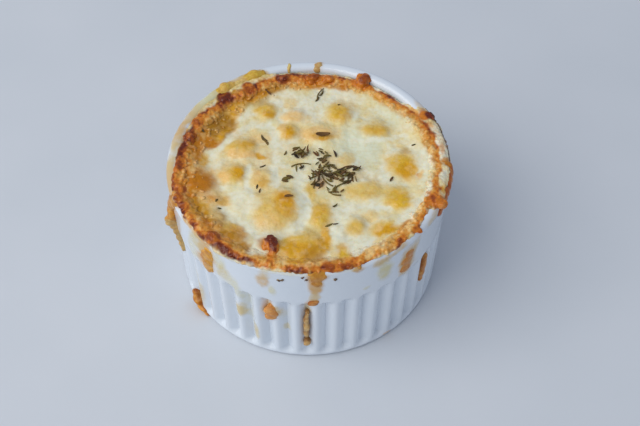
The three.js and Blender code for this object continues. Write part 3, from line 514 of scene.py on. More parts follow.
def pits(places, size, seed=0):
    """Distance to the nearest of many scattered places on the plan, from 0 at one to about 1."""
    scaled = places[:, :2] / size
    cell = np.floor(scaled).astype(np.int64)
    nearest = np.full(len(places), 9.0)
    for step in itertools.product((-1, 0, 1), repeat=2):
        home = cell + np.array(step)
        flat = np.column_stack((home, np.zeros(len(home), np.int64)))
        spot = home + np.column_stack((scramble(flat, seed), scramble(flat, seed + 1)))
        nearest = np.minimum(nearest, np.hypot(*(spot - scaled).T))
    return nearest


def nothing_selected():
    if bpy.context.mode != "OBJECT":
        bpy.ops.object.mode_set(mode="OBJECT")
    bpy.ops.object.select_all(action="DESELECT")


def only(piece):
    nothing_selected()
    piece.select_set(True)
    bpy.context.view_layer.objects.active = piece


def named(name):
    piece = bpy.context.object
    piece.name = piece.data.name = name
    return piece


def places_of(piece):
    """The points of a mesh, in millimetres."""
    flat = np.empty(len(piece.data.vertices) * 3)
    piece.data.vertices.foreach_get("co", flat)
    return flat.reshape(-1, 3) / MM


def place(piece, places):
    piece.data.vertices.foreach_set("co", (np.asarray(places) * MM).ravel())
    piece.data.update()


def normals_of(piece):
    flat = np.empty(len(piece.data.vertices) * 3)
    piece.data.vertices.foreach_get("normal", flat)
    return flat.reshape(-1, 3)


def modify(piece, kind, **settings):
    """Adds a modifier and applies it."""
    only(piece)
    bpy.ops.object.modifier_add(type=kind)
    modifier = piece.modifiers[-1]
    for key, value in settings.items():
        setattr(modifier, key, value)
    bpy.ops.object.modifier_apply(modifier=modifier.name)


def turn_faces_out(piece, merged=0):
    """Makes a mesh's faces point outwards, once points within a distance are merged."""
    only(piece)
    bpy.ops.object.mode_set(mode="EDIT")
    bpy.ops.mesh.select_all(action="SELECT")
    if merged:
        bpy.ops.mesh.remove_doubles(threshold=merged * MM)
    bpy.ops.mesh.normals_make_consistent(inside=False)
    bpy.ops.object.mode_set(mode="OBJECT")


def join(pieces, name):
    nothing_selected()
    for piece in pieces:
        piece.select_set(True)
    bpy.context.view_layer.objects.active = pieces[0]
    bpy.ops.object.join()
    return named(name)


def copies(template, placed, name):
    """One mesh of many copies of a template, each given by its points in millimetres. The
    template is then removed."""
    corners = np.array([len(face.vertices) for face in template.data.polygons])
    faces = np.array([v for face in template.data.polygons for v in face.vertices])
    ends = np.cumsum(corners)[:-1]
    count = len(template.data.vertices)
    all_faces = [f for i in range(len(placed)) for f in np.split(faces + i * count, ends)]
    mesh = bpy.data.meshes.new(name)
    mesh.from_pydata(np.concatenate(placed) * MM, [], all_faces)
    mesh.validate()
    piece = bpy.data.objects.new(name, mesh)
    bpy.context.collection.objects.link(piece)
    bpy.data.objects.remove(template)
    return piece


def paint(piece, name, values):
    """Keeps a number, or a colour where each value has three, on the points of a mesh."""
    values = np.asarray(values, np.float32)
    if values.ndim == 1:
        piece.data.attributes.new(name, "FLOAT", "POINT").data.foreach_set("value", values)
        return
    layer = piece.data.color_attributes.new(name, "FLOAT_COLOR", "POINT")
    layer.data.foreach_set("color", np.column_stack((values, np.ones(len(values)))).ravel())


def finish_piece(piece, material, angle=None):
    """Smooths a piece's shading, gives it its material and fixes it to the frame."""
    only(piece)
    if angle:
        bpy.ops.object.shade_smooth_by_angle(angle=math.radians(angle))
    else:
        bpy.ops.object.shade_smooth()
    piece.data.materials.clear()
    piece.data.materials.append(material)
    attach(piece, "root")
    nothing_selected()


class Channel:
    """A socket of a material, on which sums are written as in Python."""

    def __init__(self, finish, socket):
        self.finish = finish
        self.socket = socket

    def math(self, operation, *values):
        return self.finish.node("ShaderNodeMath", {"operation": operation}, values)

    def __add__(self, other):
        return self.math("ADD", self, other)

    def __sub__(self, other):
        return self.math("SUBTRACT", self, other)

    def __rsub__(self, other):
        return self.math("SUBTRACT", other, self)

    def __mul__(self, other):
        return self.math("MULTIPLY", self, other)

    __radd__ = __add__
    __rmul__ = __mul__

    def between(self, low, high, to_low=0.0, to_high=1.0):
        """0 below the low value and 1 above the high one, with a soft step between them."""
        settings = {"interpolation_type": "SMOOTHSTEP"}
        return self.finish.node("ShaderNodeMapRange", settings, (self, low, high, to_low, to_high))


class Finish:
    """One procedural material, built up node by node."""

    def __init__(self, name):
        self.material = bpy.data.materials.new(name)
        self.material.use_nodes = True
        self.nodes = self.material.node_tree.nodes
        self.links = self.material.node_tree.links
        self.shader = self.nodes["Principled BSDF"]
        self.place = self.node("ShaderNodeTexCoord", output="Object")

    def node(self, kind, settings=(), inputs=(), output=0):
        """Adds a node, with its settings, then the values or links of its sockets."""
        made = self.nodes.new(kind)
        for key, value in dict(settings).items():
            setattr(made, key, value)
        entries = inputs.items() if isinstance(inputs, dict) else enumerate(inputs)
        for key, value in entries:
            self.feed(made.inputs[key], value)
        return Channel(self, made.outputs[output])

    def feed(self, socket, value):
        if isinstance(value, Channel):
            self.links.new(value.socket, socket)
        elif socket.type == "RGBA" and len(value) == 3:
            socket.default_value = (*value, 1)
        else:
            socket.default_value = value

    def set(self, **values):
        """Sets or links sockets of the shader, named with _ for a space."""
        for key, value in values.items():
            self.feed(self.shader.inputs[key.replace("_", " ")], value)

    def attribute(self, name, output="Fac"):
        return self.node("ShaderNodeAttribute", {"attribute_name": name}, output=output)

    def noise(self, size, detail=3.0, roughness=0.5):
        """Noise whose blobs are about that size in millimetres, around 0.5."""
        scale = 1 / (size * MM)
        inputs = {"Vector": self.place, "Scale": scale, "Detail": detail, "Roughness": roughness}
        return self.node("ShaderNodeTexNoise", (), inputs)

    def mix(self, share, low, high, mode="MIX"):
        """A colour between two colours."""
        settings = {"data_type": "RGBA", "blend_type": mode}
        return self.node("ShaderNodeMix", settings, {0: share, 6: low, 7: high}, output=2)

    def bump(self, height, distance, strength=1.0, normal=None):
        """A normal bent by a height, whose full range is that distance in millimetres."""
        inputs = {"Height": height, "Distance": distance * MM, "Strength": strength}
        if normal:
            inputs["Normal"] = normal
        return self.node("ShaderNodeBump", (), inputs)

    def height_above_floor(self):
        return self.node("ShaderNodeSeparateXYZ", (), (self.place,), output="Z")


def wall_radius(z):
    """Radius of the outside at a height: the ribs' crowns and the plain band."""
    return blend(BASE_RADIUS, RIM_RADIUS, z / DISH_HEIGHT)


def arc(r, z, radius, start, end, steps):
    """Points of an arc in the dish's half section, without the first one."""
    angles = np.radians(np.linspace(start, end, steps + 1)[1:])
    return [(r + radius * math.cos(a), z + radius * math.sin(a)) for a in angles]


def glaze_distance(places):
    """Distance of places on the glaze from the rim's crown, outwards and down; inwards below 0."""
    radius, _ = polar_of(places)
    out = radius - RIM_CROWN - RIM_HALF_FLAT
    fallen = np.maximum(DISH_HEIGHT - RIM_OUTER_ROUND - places[:, 2], 0)
    over = RIM_HALF_FLAT + RIM_OUTER_ROUND * np.arcsin(np.clip(out / RIM_OUTER_ROUND, 0, 1))
    down = RIM_HALF_FLAT + RIM_OUTER_ROUND * np.pi / 2 + fallen
    on_wall = (fallen > 0) & (radius > BORE_RADIUS + 0.5)
    return np.where(on_wall, down, np.where(out < 0, radius - RIM_CROWN, over))


def dish_outline():
    """Half section of the dish, from under its middle round to the inside of its floor."""
    shoulder = DISH_HEIGHT - RIM_OUTER_ROUND
    inner = DISH_HEIGHT - RIM_INNER_ROUND
    corner_z = FLOOR_THICKNESS + CORNER_RADIUS
    foot_round = 0.4
    rows = np.arange(FOOT_EDGE_HEIGHT, shoulder, WALL_ROW)
    return [
        (0, RECESS_DEPTH), (FOOT_INNER_RADIUS - 6, RECESS_DEPTH),
        (FOOT_INNER_RADIUS - RECESS_DEPTH, RECESS_DEPTH * 0.9),
        (FOOT_INNER_RADIUS - 0.2, 0.2), (FOOT_INNER_RADIUS + foot_round, 0),
        (FOOT_OUTER_RADIUS - foot_round, 0), (FOOT_OUTER_RADIUS + 0.5, 0.06),
        (wall_radius(0) - 1, 0.25), (wall_radius(0) - 0.45, 0.62), (wall_radius(0) - 0.12, 1.1),
        *[(wall_radius(z), z) for z in rows],
        *arc(RIM_RADIUS - RIM_OUTER_ROUND, shoulder, RIM_OUTER_ROUND, -3, 90, 10),
        *arc(BORE_RADIUS + RIM_INNER_ROUND, inner, RIM_INNER_ROUND, 90, 180, 8),
        *[(blend(BORE_RADIUS, BORE_BASE_RADIUS, t), blend(inner, corner_z, t))
          for t in (0.03, 0.07, 0.13, 0.25, 0.5, 0.75, 1)],
        *arc(BORE_BASE_RADIUS - CORNER_RADIUS, corner_z, CORNER_RADIUS, 0, -90, 6),
        (20, FLOOR_THICKNESS), (0, FLOOR_THICKNESS),
    ]


def groove_depth(angle, z, depth):
    """Depth of the flutes at a place on the wall: 0 on a rib's crown."""
    flutes = bpy.context.scene.dish_settings.flutes
    share = (angle - FLUTE_PHASE) * flutes / TURN
    rib = np.abs(np.cos(np.pi * share)) ** RIB_FULLNESS
    top = 1 - smoothstep(FLUTE_TOP - FLUTE_FADE, FLUTE_TOP, z)
    foot = smoothstep(FLUTE_FOOT, FLUTE_FOOT + FLUTE_FOOT_FADE, z)
    return depth * (1 - rib) * top * foot


def draw_outline(outline):
    """Draws an open outline in the XZ plane, each point extruded from the one before."""
    points = [Vector((r, 0, z)) * MM for r, z in outline]
    bpy.ops.mesh.primitive_plane_add(size=MM, location=(0, 0, 0))
    bpy.ops.object.mode_set(mode="EDIT")
    bpy.ops.mesh.merge(type="CENTER")
    bpy.ops.transform.translate(value=points[0])
    for start, end in zip(points, points[1:]):
        bpy.ops.mesh.extrude_vertices_move(TRANSFORM_OT_translate={"value": end - start})


def glaze(settings):
    """White porcelain glaze with thin dried films of cheese on it and a bare foot ring."""
    finish = Finish("white_glaze")
    film = finish.attribute("film")
    warmth = finish.attribute("warmth")
    blotches = finish.noise(2.4, 3, 0.55).between(0.3, 0.7, -0.22, 0.22)
    cover = (film + blotches * film).between(0.06, 0.9)
    film_colour = finish.mix(warmth, srgb(*FILM_PALE), srgb(*FILM_GOLDEN))
    body = finish.mix(finish.noise(18, 2), srgb(218, 227, 236), tuple(settings.glaze))
    bare = 1 - finish.height_above_floor().between(0.0001, 0.0005)
    clay = finish.mix(finish.noise(0.6), srgb(214, 208, 196), srgb(232, 227, 217))
    colour = finish.mix(bare, finish.mix(cover * 0.9, body, film_colour), clay)
    flow = finish.bump(finish.noise(9, 2), 0.12, 0.5)
    relief = finish.bump(cover, 0.15, 0.7, flow)
    finish.set(
        Base_Color=colour, Roughness=0.1 + cover * 0.25 + bare * 0.6 + finish.noise(4) * 0.05,
        Normal=relief, IOR=1.5,
    )
    return finish.material


class DishSettings(bpy.types.PropertyGroup):
    flutes: bpy.props.IntProperty(
        name="Flutes", description="Number of ribs round the dish", default=44, min=12, max=90)
    flute_depth: bpy.props.FloatProperty(
        name="Flute depth", description="Depth of the grooves between the ribs",
        default=2.1 * MM, min=0, max=3 * MM, unit="LENGTH")
    glaze: bpy.props.FloatVectorProperty(
        name="Glaze", description="Colour of the porcelain glaze", default=srgb(228, 234, 241),
        size=3, min=0, max=1, subtype="COLOR")


class MakeDish(bpy.types.Operator):
    """Model the fluted dish: one flute is spun from the half section and repeated all round"""

    bl_idname = "mesh.baked_dish_ramekin"
    bl_label = "Fluted Dish"

    def execute(self, context):
        settings = context.scene.dish_settings
        step = math.radians(TURN / settings.flutes)
        nothing_selected()
        draw_outline(dish_outline())
        bpy.ops.mesh.select_all(action="SELECT")
        bpy.ops.mesh.spin(steps=FLUTE_COLUMNS, angle=step, center=(0, 0, 0), axis=(0, 0, 1))
        bpy.ops.mesh.select_all(action="SELECT")
        bpy.ops.mesh.remove_doubles(threshold=0.001 * MM)
        bpy.ops.object.mode_set(mode="OBJECT")
        piece = named("fluted_dish")
        self.repeat_flute(piece, step, settings.flutes)
        self.press_grooves(piece, settings.flute_depth / MM)
        self.paint_films(piece)
        finish_piece(piece, glaze(settings), 50)
        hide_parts("ramekin")
        return {"FINISHED"}

    def repeat_flute(self, piece, step, count):
        bpy.ops.object.empty_add(location=(0, 0, 0), rotation=(0, 0, step))
        turn = bpy.context.object
        modify(
            piece, "ARRAY", use_relative_offset=False, use_object_offset=True, offset_object=turn,
            count=count, use_merge_vertices=True, use_merge_vertices_cap=True,
            merge_threshold=MERGE_REACH * MM,
        )
        bpy.data.objects.remove(turn)
        turn_faces_out(piece, MERGE_REACH)

    def press_grooves(self, piece, depth):
        places = places_of(piece)
        radius, angle = polar_of(places)
        z = places[:, 2]
        outside = (z > FLUTE_FOOT) & (z < FLUTE_TOP) & (radius > BORE_RADIUS + 1)
        pressed = radius - np.where(outside, groove_depth(angle + FLUTE_PHASE, z, depth), 0)
        turned = np.radians(angle + FLUTE_PHASE)
        place(piece, np.column_stack((pressed * np.cos(turned), pressed * np.sin(turned), z)))

    def paint_films(self, piece):
        places = places_of(piece)
        _, angle = polar_of(places)
        down = glaze_distance(places)
        down = down + 1.6 * layered_noise(places, 5, 11)
        drift = 1.3 * layered_noise(places, 4, 3)
        film = np.zeros(len(places))
        warmth = np.zeros(len(places))
        for centre, level, half_width, half_height, strength, warm in FILMS:
            across = (angle_between(angle, centre) * math.radians(RIM_RADIUS) + drift) / half_width
            away = np.hypot(across, (down - level) / half_height)
            mask = (1 - smoothstep(0.35, 1.3, away)) * strength
            warmth = blend(warmth, warm, mask / np.maximum(film + mask, 0.05))
            film = film + mask * (1 - film)
        paint(piece, "film", film)
        paint(piece, "warmth", warmth)


def seen_from_front(y, z, level=LIST_LEVEL):
    """Where, in y, the line of sight through a place meets a level."""
    return y + SIGHT_LEAN * (z - level)


def cheese_height(x, y, relief):
    """Height of the cheese inside the crust."""
    crown = FILL_CROWN * (1 - (x * x + y * y) / BORE_RADIUS ** 2) - FILL_TILT * y
    bumps = 0
    for bump_x, bump_y, size, height in BUMPS:
        ahead = seen_from_front(y, FILL_LEVEL + crown) - bump_y
        distance = ((x - bump_x) ** 2 + ahead ** 2) / size ** 2
        bumps = bumps + height * np.exp(-BUMP_FLATNESS * distance ** 2)
    flat = on_plan(x, y)
    swell = 0.34 * noise(flat, 6.5, 5) + 0.16 * noise(flat, 2.8, 6)
    return FILL_LEVEL + crown + relief * bumps + swell


def top_height(x, y, relief):
    """Height of the cheese out to the bore, where it climbs to the crust."""
    radius, angle = polar(x, y)
    climb = smoothstep(CRUST_START, CHEESE_RADIUS, radius)
    return blend(cheese_height(x, y, relief), round_the_dish(CRUST_HEIGHT, angle), climb)


def patch_mask(x, y, patch):
    """1 inside a patch, fading out over its edge."""
    patch_x, patch_y, half_width, half_depth, turn = patch[:5]
    c, s = math.cos(math.radians(turn)), math.sin(math.radians(turn))
    dx, dy = x - patch_x, y - patch_y
    along, across = (dx * c + dy * s) / half_width, (dy * c - dx * s) / half_depth
    return 1 - smoothstep(0.42, 1.32, np.hypot(along, across))


def string_mask(x, y, width, points):
    """1 along a line of points, fading out over its width."""
    nearest = np.full(len(x), 1e9)
    here = np.column_stack((x, y))
    for start, end in zip(np.array(points[:-1]), np.array(points[1:])):
        way = end - start
        t = np.clip((here - start) @ way / (way @ way), 0, 1)
        nearest = np.minimum(nearest, np.linalg.norm(here - start - t[:, None] * way, axis=1))
    return 1 - smoothstep(0.2 * width, 0.75 * width, nearest)


def toned(colours, mask, tone):
    """Colours mixed with a tone where the mask says so."""
    target = srgb(*TONES[tone])
    return colours + mask[:, None] * (np.array(target) - colours)


def crispness(colours):
    """How golden a colour is: 0 for white cheese and 1 for browned."""
    return np.clip((colours[:, 0] - colours[:, 2] - 0.25) * 2, 0, 1)


def cheese_colours(x, y, z):
    """Colour of the melted cheese: cream with white strings, golden domes and a toasted edge, with
    painted glints on the domes, a painted sheen on its milky places and painted shade in some
    hollows.
    """
    flat = on_plan(x, y)
    wx = x + 1.1 * layered_noise(flat, 5, 21) + 0.6 * layered_noise(flat, 1.8, 25, 2)
    wy = y + 1.1 * layered_noise(flat, 5, 31) + 0.6 * layered_noise(flat, 1.8, 35, 2)
    colours = np.tile(srgb(*TONES["pale"]), (len(x), 1))
    colours = toned(colours, smoothstep(-0.3, 0.4, layered_noise(flat, 7, 41, 2)) * 0.9, "white")
    colours = toned(colours, smoothstep(0, 0.7, layered_noise(flat, 6, 51, 2)) * 0.5, "cream")
    colours = toned(colours, smoothstep(0.1, 0.8, layered_noise(flat, 5, 55, 2)) * 0.35, "yellow")
    streaks = smoothstep(0.05, 0.55, layered_noise(flat * (1, 0.7, 1), 2.6, 57, 2))
    colours = toned(colours, streaks * 0.35, "cream")
    colours = toned(colours, smoothstep(0.1, 0.6, layered_noise(flat, 2.2, 59, 2)) * 0.55, "white")
    radius, angle = polar(wx, wy)
    inside = round_the_dish(CRUST_LINE, angle) - radius + 1.4 * layered_noise(flat, 4, 61)
    beside = np.where(inside > 0, inside / round_the_dish(TOASTED_EDGE, angle), -inside / 1.4)
    toast = 1 - smoothstep(0.25, 1, beside)
    colours = toned(colours, toast * 0.9, "gold")
    colours = toned(colours, smoothstep(0.4, 1, toast) * 0.6, "toast")
    deep = smoothstep(-0.1, 0.4, layered_noise(flat, 3, 71)) * toast
    colours = toned(colours, deep * 0.75, "olive")
    listed = seen_from_front(wy, z)
    for patch in PATCHES:
        colours = toned(colours, patch_mask(wx, listed, patch) * patch[6], patch[5])
    thin = 0.75 + 0.3 * layered_noise(flat, 4.4, 91, 2)
    for width, points in WHITE_STRINGS:
        colours = toned(colours, string_mask(wx, listed, width, points) * thin, "white")
    listed = seen_from_front(wy, z, np.interp(radius, RING_RADII, RING_LEVELS))
    for place_angle, place_radius, half_length, half_width, skew, tone, strength in RIM_PATCHES:
        turned = math.radians(place_angle)
        patch = (place_radius * math.cos(turned), place_radius * math.sin(turned), half_length,
                 half_width, place_angle + 90 + skew)
        colours = toned(colours, patch_mask(wx, listed, patch) * strength, tone)
    golden = crispness(colours)
    crumbs = layered_noise(flat, 1.5, 83, 2)
    baked = golden * (0.4 + 0.25 * toast)
    colours = toned(colours, smoothstep(0.05, 0.5, crumbs) * baked, "peach")
    colours = toned(colours, smoothstep(0.05, 0.5, -crumbs) * baked * (0.3 + 0.6 * toast), "orange")
    # Painted glints: small ivory specks, mostly on the golden domes.
    painted_glints = smoothstep(0.3, 0.7, noise(flat, 1.1, 81)) * (0.03 + 0.11 * golden)
    colours = toned(colours, painted_glints, "ivory")
    folds = smoothstep(0.75, 1, 1 - 2 * np.abs(layered_noise(flat, 2.6, 85, 2)))
    return toned(colours, folds * (0.02 + 0.2 * golden), "toast")


def melted_cheese():
    """Baked cheese: its colour is on the mesh, with fine mottling, an oily gloss and small pits."""
    finish = Finish("melted_cheese")
    tone = finish.attribute("tone", "Color")
    mottle = finish.noise(1.4, 2, 0.5).between(0.4, 0.7)
    darker = finish.mix(1.0, tone, srgb(240, 226, 190), "MULTIPLY")
    colour = finish.mix(mottle * 0.4, tone, darker)
    grease = finish.noise(3.2, 2).between(0.4, 0.62)
    crisp = finish.attribute("crisp")
    coarse = finish.bump(finish.noise(2.6, 1, 0.5), 0.35, 0.35)
    fine = finish.bump(finish.noise(1.1, 2, 0.5) * (crisp * 0.8 + 0.2), 0.4, 0.7, coarse)
    finish.set(
        Base_Color=colour, Roughness=0.27 - grease * 0.12 - crisp * 0.06, Normal=fine,
        Subsurface_Weight=0.1, Subsurface_Radius=(1.0, 0.7, 0.4), Subsurface_Scale=0.8 * MM,
        IOR=1.4, Specular_IOR_Level=0.4,
    )
    return finish.material


class CheeseSettings(bpy.types.PropertyGroup):
    relief: bpy.props.FloatProperty(
        name="Relief", description="How far the domes over the macaroni stand out",
        default=1.3, min=0, max=2)


class MakeCheese(bpy.types.Operator):
    """Model the filling: a fine grid drawn into a disc, raised into domes, and closed below"""

    bl_idname = "mesh.baked_dish_cheese"
    bl_label = "Melted Cheese"

    def execute(self, context):
        relief = context.scene.cheese_settings.relief
        nothing_selected()
        bpy.ops.mesh.primitive_grid_add(
            x_subdivisions=CHEESE_CELLS, y_subdivisions=CHEESE_CELLS, size=2, location=(0, 0, 0))
        piece = named("melted_cheese")
        x, y = self.disc(piece)
        z = self.surface(x, y, relief)
        place(piece, np.column_stack((x, y, z)))
        self.close_below(piece)
        places = places_of(piece)
        colours = cheese_colours(*places.T)
        # The tone holds painted glints, sheen and shade along with the cheese's own colours.
        paint(piece, "tone", colours)
        paint(piece, "crisp", crispness(colours))
        finish_piece(piece, melted_cheese(), 60)
        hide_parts("filling")
        return {"FINISHED"}

    def disc(self, piece):
        """Squares of the grid become rings of the disc."""
        u, v = places_of(piece)[:, :2].T * MM
        ring = np.maximum(np.abs(u), np.abs(v))
        wide = np.abs(u) >= np.abs(v)
        share = np.where(wide, v, u) / np.maximum(ring, 1e-9) * np.sign(np.where(wide, u, v))
        angle = np.where(wide, 0, np.pi / 2) + np.where(wide, 1, -1) * share * np.pi / 4
        signed = ring * np.sign(np.where(wide, u, v)) * CHEESE_RADIUS
        return signed * np.cos(angle), signed * np.sin(angle)

    def surface(self, x, y, relief):
        flat = on_plan(x, y)
        radius, _ = polar(x, y)
        calm = 1 - 0.75 * patch_mask(x, y, CALM_PLACE)
        lumpy = 0.2 * layered_noise(flat, 3.2, 7, 2) + 0.03 * noise(flat, 1.1, 9)
        holes = 0.12 * (1 - smoothstep(0.1, 0.4, pits(flat, 4.2, 12)))
        edge = smoothstep(EDGE_START, CHEESE_RADIUS, radius)
        return top_height(x, y, relief) + (lumpy - holes) * calm - 0.5 * edge

    def close_below(self, piece):
        """The side goes down inside the bore to the dish's floor, and the bottom is closed."""
        only(piece)
        corner = FLOOR_THICKNESS + CORNER_RADIUS
        corner_radius = BORE_BASE_RADIUS - GAP
        rings = ((corner_radius, corner), (corner_radius - 1.5, FILL_FLOOR + 1.6),
                 (corner_radius - CORNER_RADIUS, FILL_FLOOR))
        bpy.ops.object.mode_set(mode="EDIT")
        bpy.ops.mesh.select_mode(type="EDGE")
        bpy.ops.mesh.select_all(action="DESELECT")
        bpy.ops.mesh.select_non_manifold(
            extend=False, use_wire=False, use_boundary=True, use_multi_face=False,
            use_non_contiguous=False, use_verts=False)
        radius = CHEESE_RADIUS
        for target, height in rings:
            scale = target / radius
            bpy.ops.mesh.extrude_edges_move()
            bpy.ops.transform.resize(value=(scale, scale, 1), center_override=(0, 0, 0))
            bpy.ops.transform.resize(value=(1, 1, 0), center_override=(0, 0, height * MM))
            radius = target
        bpy.ops.mesh.extrude_edges_move()
        bpy.ops.mesh.merge(type="CENTER")
        bpy.ops.mesh.select_mode(type="VERT")
        turn_faces_out(piece)


def rim_surface(s):
    """Radius, height and outward direction on the dish, at a distance from the rim's crown
    along the glaze: below 0 inwards and down the bore, above 0 outwards and down the wall."""
    s = np.asarray(s, float)
    outer_arc = RIM_OUTER_ROUND * np.pi / 2
    inner_arc = RIM_INNER_ROUND * np.pi / 2
    out = np.clip((s - RIM_HALF_FLAT) / RIM_OUTER_ROUND, 0, np.pi / 2)
    into = np.clip((-s - RIM_HALF_FLAT) / RIM_INNER_ROUND, 0, np.pi / 2)
    down = np.maximum(s - RIM_HALF_FLAT - outer_arc, 0)
    down = down + np.maximum(-s - RIM_HALF_FLAT - inner_arc, 0)
    flat = np.clip(s, -RIM_HALF_FLAT, RIM_HALF_FLAT)
    radius = RIM_CROWN + flat + RIM_OUTER_ROUND * np.sin(out) - RIM_INNER_ROUND * np.sin(into)
    drop = RIM_OUTER_ROUND * (1 - np.cos(out)) + RIM_INNER_ROUND * (1 - np.cos(into)) + down
    height = DISH_HEIGHT - drop
    radius = np.where(s > 0, radius - (RIM_RADIUS - BASE_RADIUS) * down / DISH_HEIGHT, radius)
    return radius, height, np.sin(out) - np.sin(into), np.cos(out) * np.cos(into)


def ring_places(angle, radius, z):
    turned = np.radians(angle)
    return np.column_stack((radius * np.cos(turned), radius * np.sin(turned), z))


def rim_distance(radius):
    """Distance along the glaze from the rim's crown to a radius on the rim or inside the bore."""
    over = np.clip((radius - RIM_CROWN - RIM_HALF_FLAT) / RIM_OUTER_ROUND, 0, 1)
    under = np.clip((RIM_CROWN - RIM_HALF_FLAT - radius) / RIM_INNER_ROUND, 0, 1)
    flat = np.clip(radius - RIM_CROWN, -RIM_HALF_FLAT, RIM_HALF_FLAT)
    bore = np.maximum(BORE_RADIUS - radius, 0)
    return flat + RIM_OUTER_ROUND * np.arcsin(over) - RIM_INNER_ROUND * np.arcsin(under) - bore


def crust_place(angle, along, relief):
    """Radius and height on the cheese or the glaze, with the outward direction there."""
    bore_end = -RIM_HALF_FLAT - RIM_INNER_ROUND * np.pi / 2
    radius, height, outwards, upwards = rim_surface(along)
    crust_top = round_the_dish(CRUST_HEIGHT, angle)
    on_cheese = along < bore_end
    radius = np.where(on_cheese, CHEESE_RADIUS + along - bore_end, radius)
    turned = np.radians(angle)
    slope = top_height(radius * np.cos(turned), radius * np.sin(turned), relief)
    heaped = height + np.maximum(crust_top - DISH_HEIGHT, 0) * (1 - smoothstep(0, 1.6, along))
    level = np.where(along < 0, np.maximum(height, crust_top), heaped)
    level = np.where(on_cheese, slope, level)
    return radius, level, np.where(along < 0, 0, outwards), np.where(along < 0, 1, upwards)


def blob_template(name, subdivisions):
    nothing_selected()
    bpy.ops.mesh.primitive_ico_sphere_add(subdivisions=subdivisions, radius=MM, location=(0, 0, 0))
    return named(name)


def smoothed(piece, values, rounds):
    """Values on the points of a mesh, averaged along its edges several times."""
    edges = np.empty(len(piece.data.edges) * 2, np.int64)
    piece.data.edges.foreach_get("vertices", edges)
    start, end = edges.reshape(-1, 2).T
    count = len(values)
    degree = np.bincount(start, minlength=count) + np.bincount(end, minlength=count)
    for _ in range(rounds):
        total = np.bincount(start, values[end], count) + np.bincount(end, values[start], count)
        values = 0.5 * values + 0.5 * total / np.maximum(degree, 1)
    return values


def hollowness(piece, rounds=10):
    """How far each point lies under its neighbourhood, in millimetres, below 0 on a crest."""
    places = places_of(piece)
    lowered = np.column_stack([smoothed(piece, column, rounds) for column in places.T])
    return np.sum((lowered - places) * normals_of(piece), axis=1)


def crust_colours(places, hollow):
    """Colour of the crust: orange and red-brown down to burnt dark as it is toasted, painted
    highlights of peach on its crests and painted shade in its hollows, and that of the cheese
    beside its line with painted peach highlights on its crests."""
    radius, angle = polar_of(places)
    line, half, toast = (round_the_dish(CRUST_LINE, angle, column) for column in (1, 2, 3))
    fallen = np.maximum(DISH_HEIGHT - 0.8 - places[:, 2], 0) * (radius > RIM_CROWN)
    ragged = blend(2.1, 0.8, np.minimum(toast, 1)) * layered_noise(places, 2.8, 105)
    outwards = (radius + fallen - line) / half
    reach = np.where(outwards > 0, outwards, -0.9 * outwards)
    mask = 1 - smoothstep(0.5, 1.5, reach + ragged)
    toast = toast + 0.42 * smoothstep(-0.1, 0.9, outwards) - 0.4 * smoothstep(0.1, 1.3, -outwards)
    # Painted light: the hollows are toasted darker as painted shade and the crests paler as painted
    # highlights.
    toast = toast + 0.85 * layered_noise(places, 4.6, 101) + np.clip(hollow, -0.2, 0.3)
    crumbs = layered_noise(places, 1.7, 111, 2)
    toast = toast - 0.45 * smoothstep(0.1, 0.5, crumbs) + 0.35 * smoothstep(0.1, 0.5, -crumbs)
    for x, y, z, length, width, height, turn, burnt in LUMPS:
        near = np.linalg.norm(places - (x, y, z), axis=1) / max(length, width)
        lump = 1 - smoothstep(0.8, 1.3, near)
        scorch = burnt + 0.35 * noise(places, 1.3, 113) - 0.1 * (z > places[:, 2])
        toast = blend(toast, scorch, lump)
        mask = np.maximum(mask, lump)
    hairline = np.zeros(len(places), bool)
    for first, last, along in BURNT_EDGES:
        beside = np.abs(angle_between(angle, (first + last) / 2)) < (last - first) / 2 + 0.5
        hairline |= beside & (np.abs(glaze_distance(places) - along) < 0.6)
    colours = np.tile(srgb(*TONES["peach"]), (len(places), 1))
    for tone, low, high in TOAST_STEPS:
        colours = toned(colours, smoothstep(low, high, toast), tone)
    # Painted highlights: the cheese under the lace turns peach on its crests.
    under = toned(cheese_colours(*places.T), np.clip(-hollow * 1.5, 0, 0.5), "peach")
    colours = under + mask[:, None] * (colours - under)
    return toned(colours, hairline * 0.9, "burnt")


def baked_crust():
    """Crisp browned cheese, whose colour is on the mesh."""
    finish = Finish("baked_crust")
    tone = finish.attribute("tone", "Color")
    speckle = finish.noise(0.8, 2, 0.6).between(0.4, 0.7)
    scorched = finish.mix(1.0, tone, srgb(206, 156, 108), "MULTIPLY")
    colour = finish.mix(speckle * 0.4, tone, scorched)
    grain = finish.bump(finish.noise(1.2, 2, 0.5), 0.4, 0.7)
    finish.set(
        Base_Color=colour, Roughness=0.14 + finish.noise(1.2) * 0.26, Normal=grain,
        Subsurface_Weight=0.08, Subsurface_Radius=(1.0, 0.4, 0.15), Subsurface_Scale=0.7 * MM,
        IOR=1.45, Specular_IOR_Level=0.42,
    )
    return finish.material


class CrustSettings(bpy.types.PropertyGroup):
    crags: bpy.props.IntProperty(
        name="Crags", description="Number of bubbles and crumbs that the crust is melted from",
        default=3400, min=100, max=6000)
    crag_size: bpy.props.FloatProperty(
        name="Crag size", description="Radius of the largest bubbles", default=0.95 * MM,
        min=0.3 * MM, max=3 * MM, unit="LENGTH")
    lace: bpy.props.FloatProperty(
        name="Lace", description="Share of the bubbles that lie on the toasted cheese inside",
        default=0.11, min=0, max=1, subtype="FACTOR")
    seed: bpy.props.IntProperty(
        name="Seed", description="Changes where the bubbles lie", default=4, min=0)


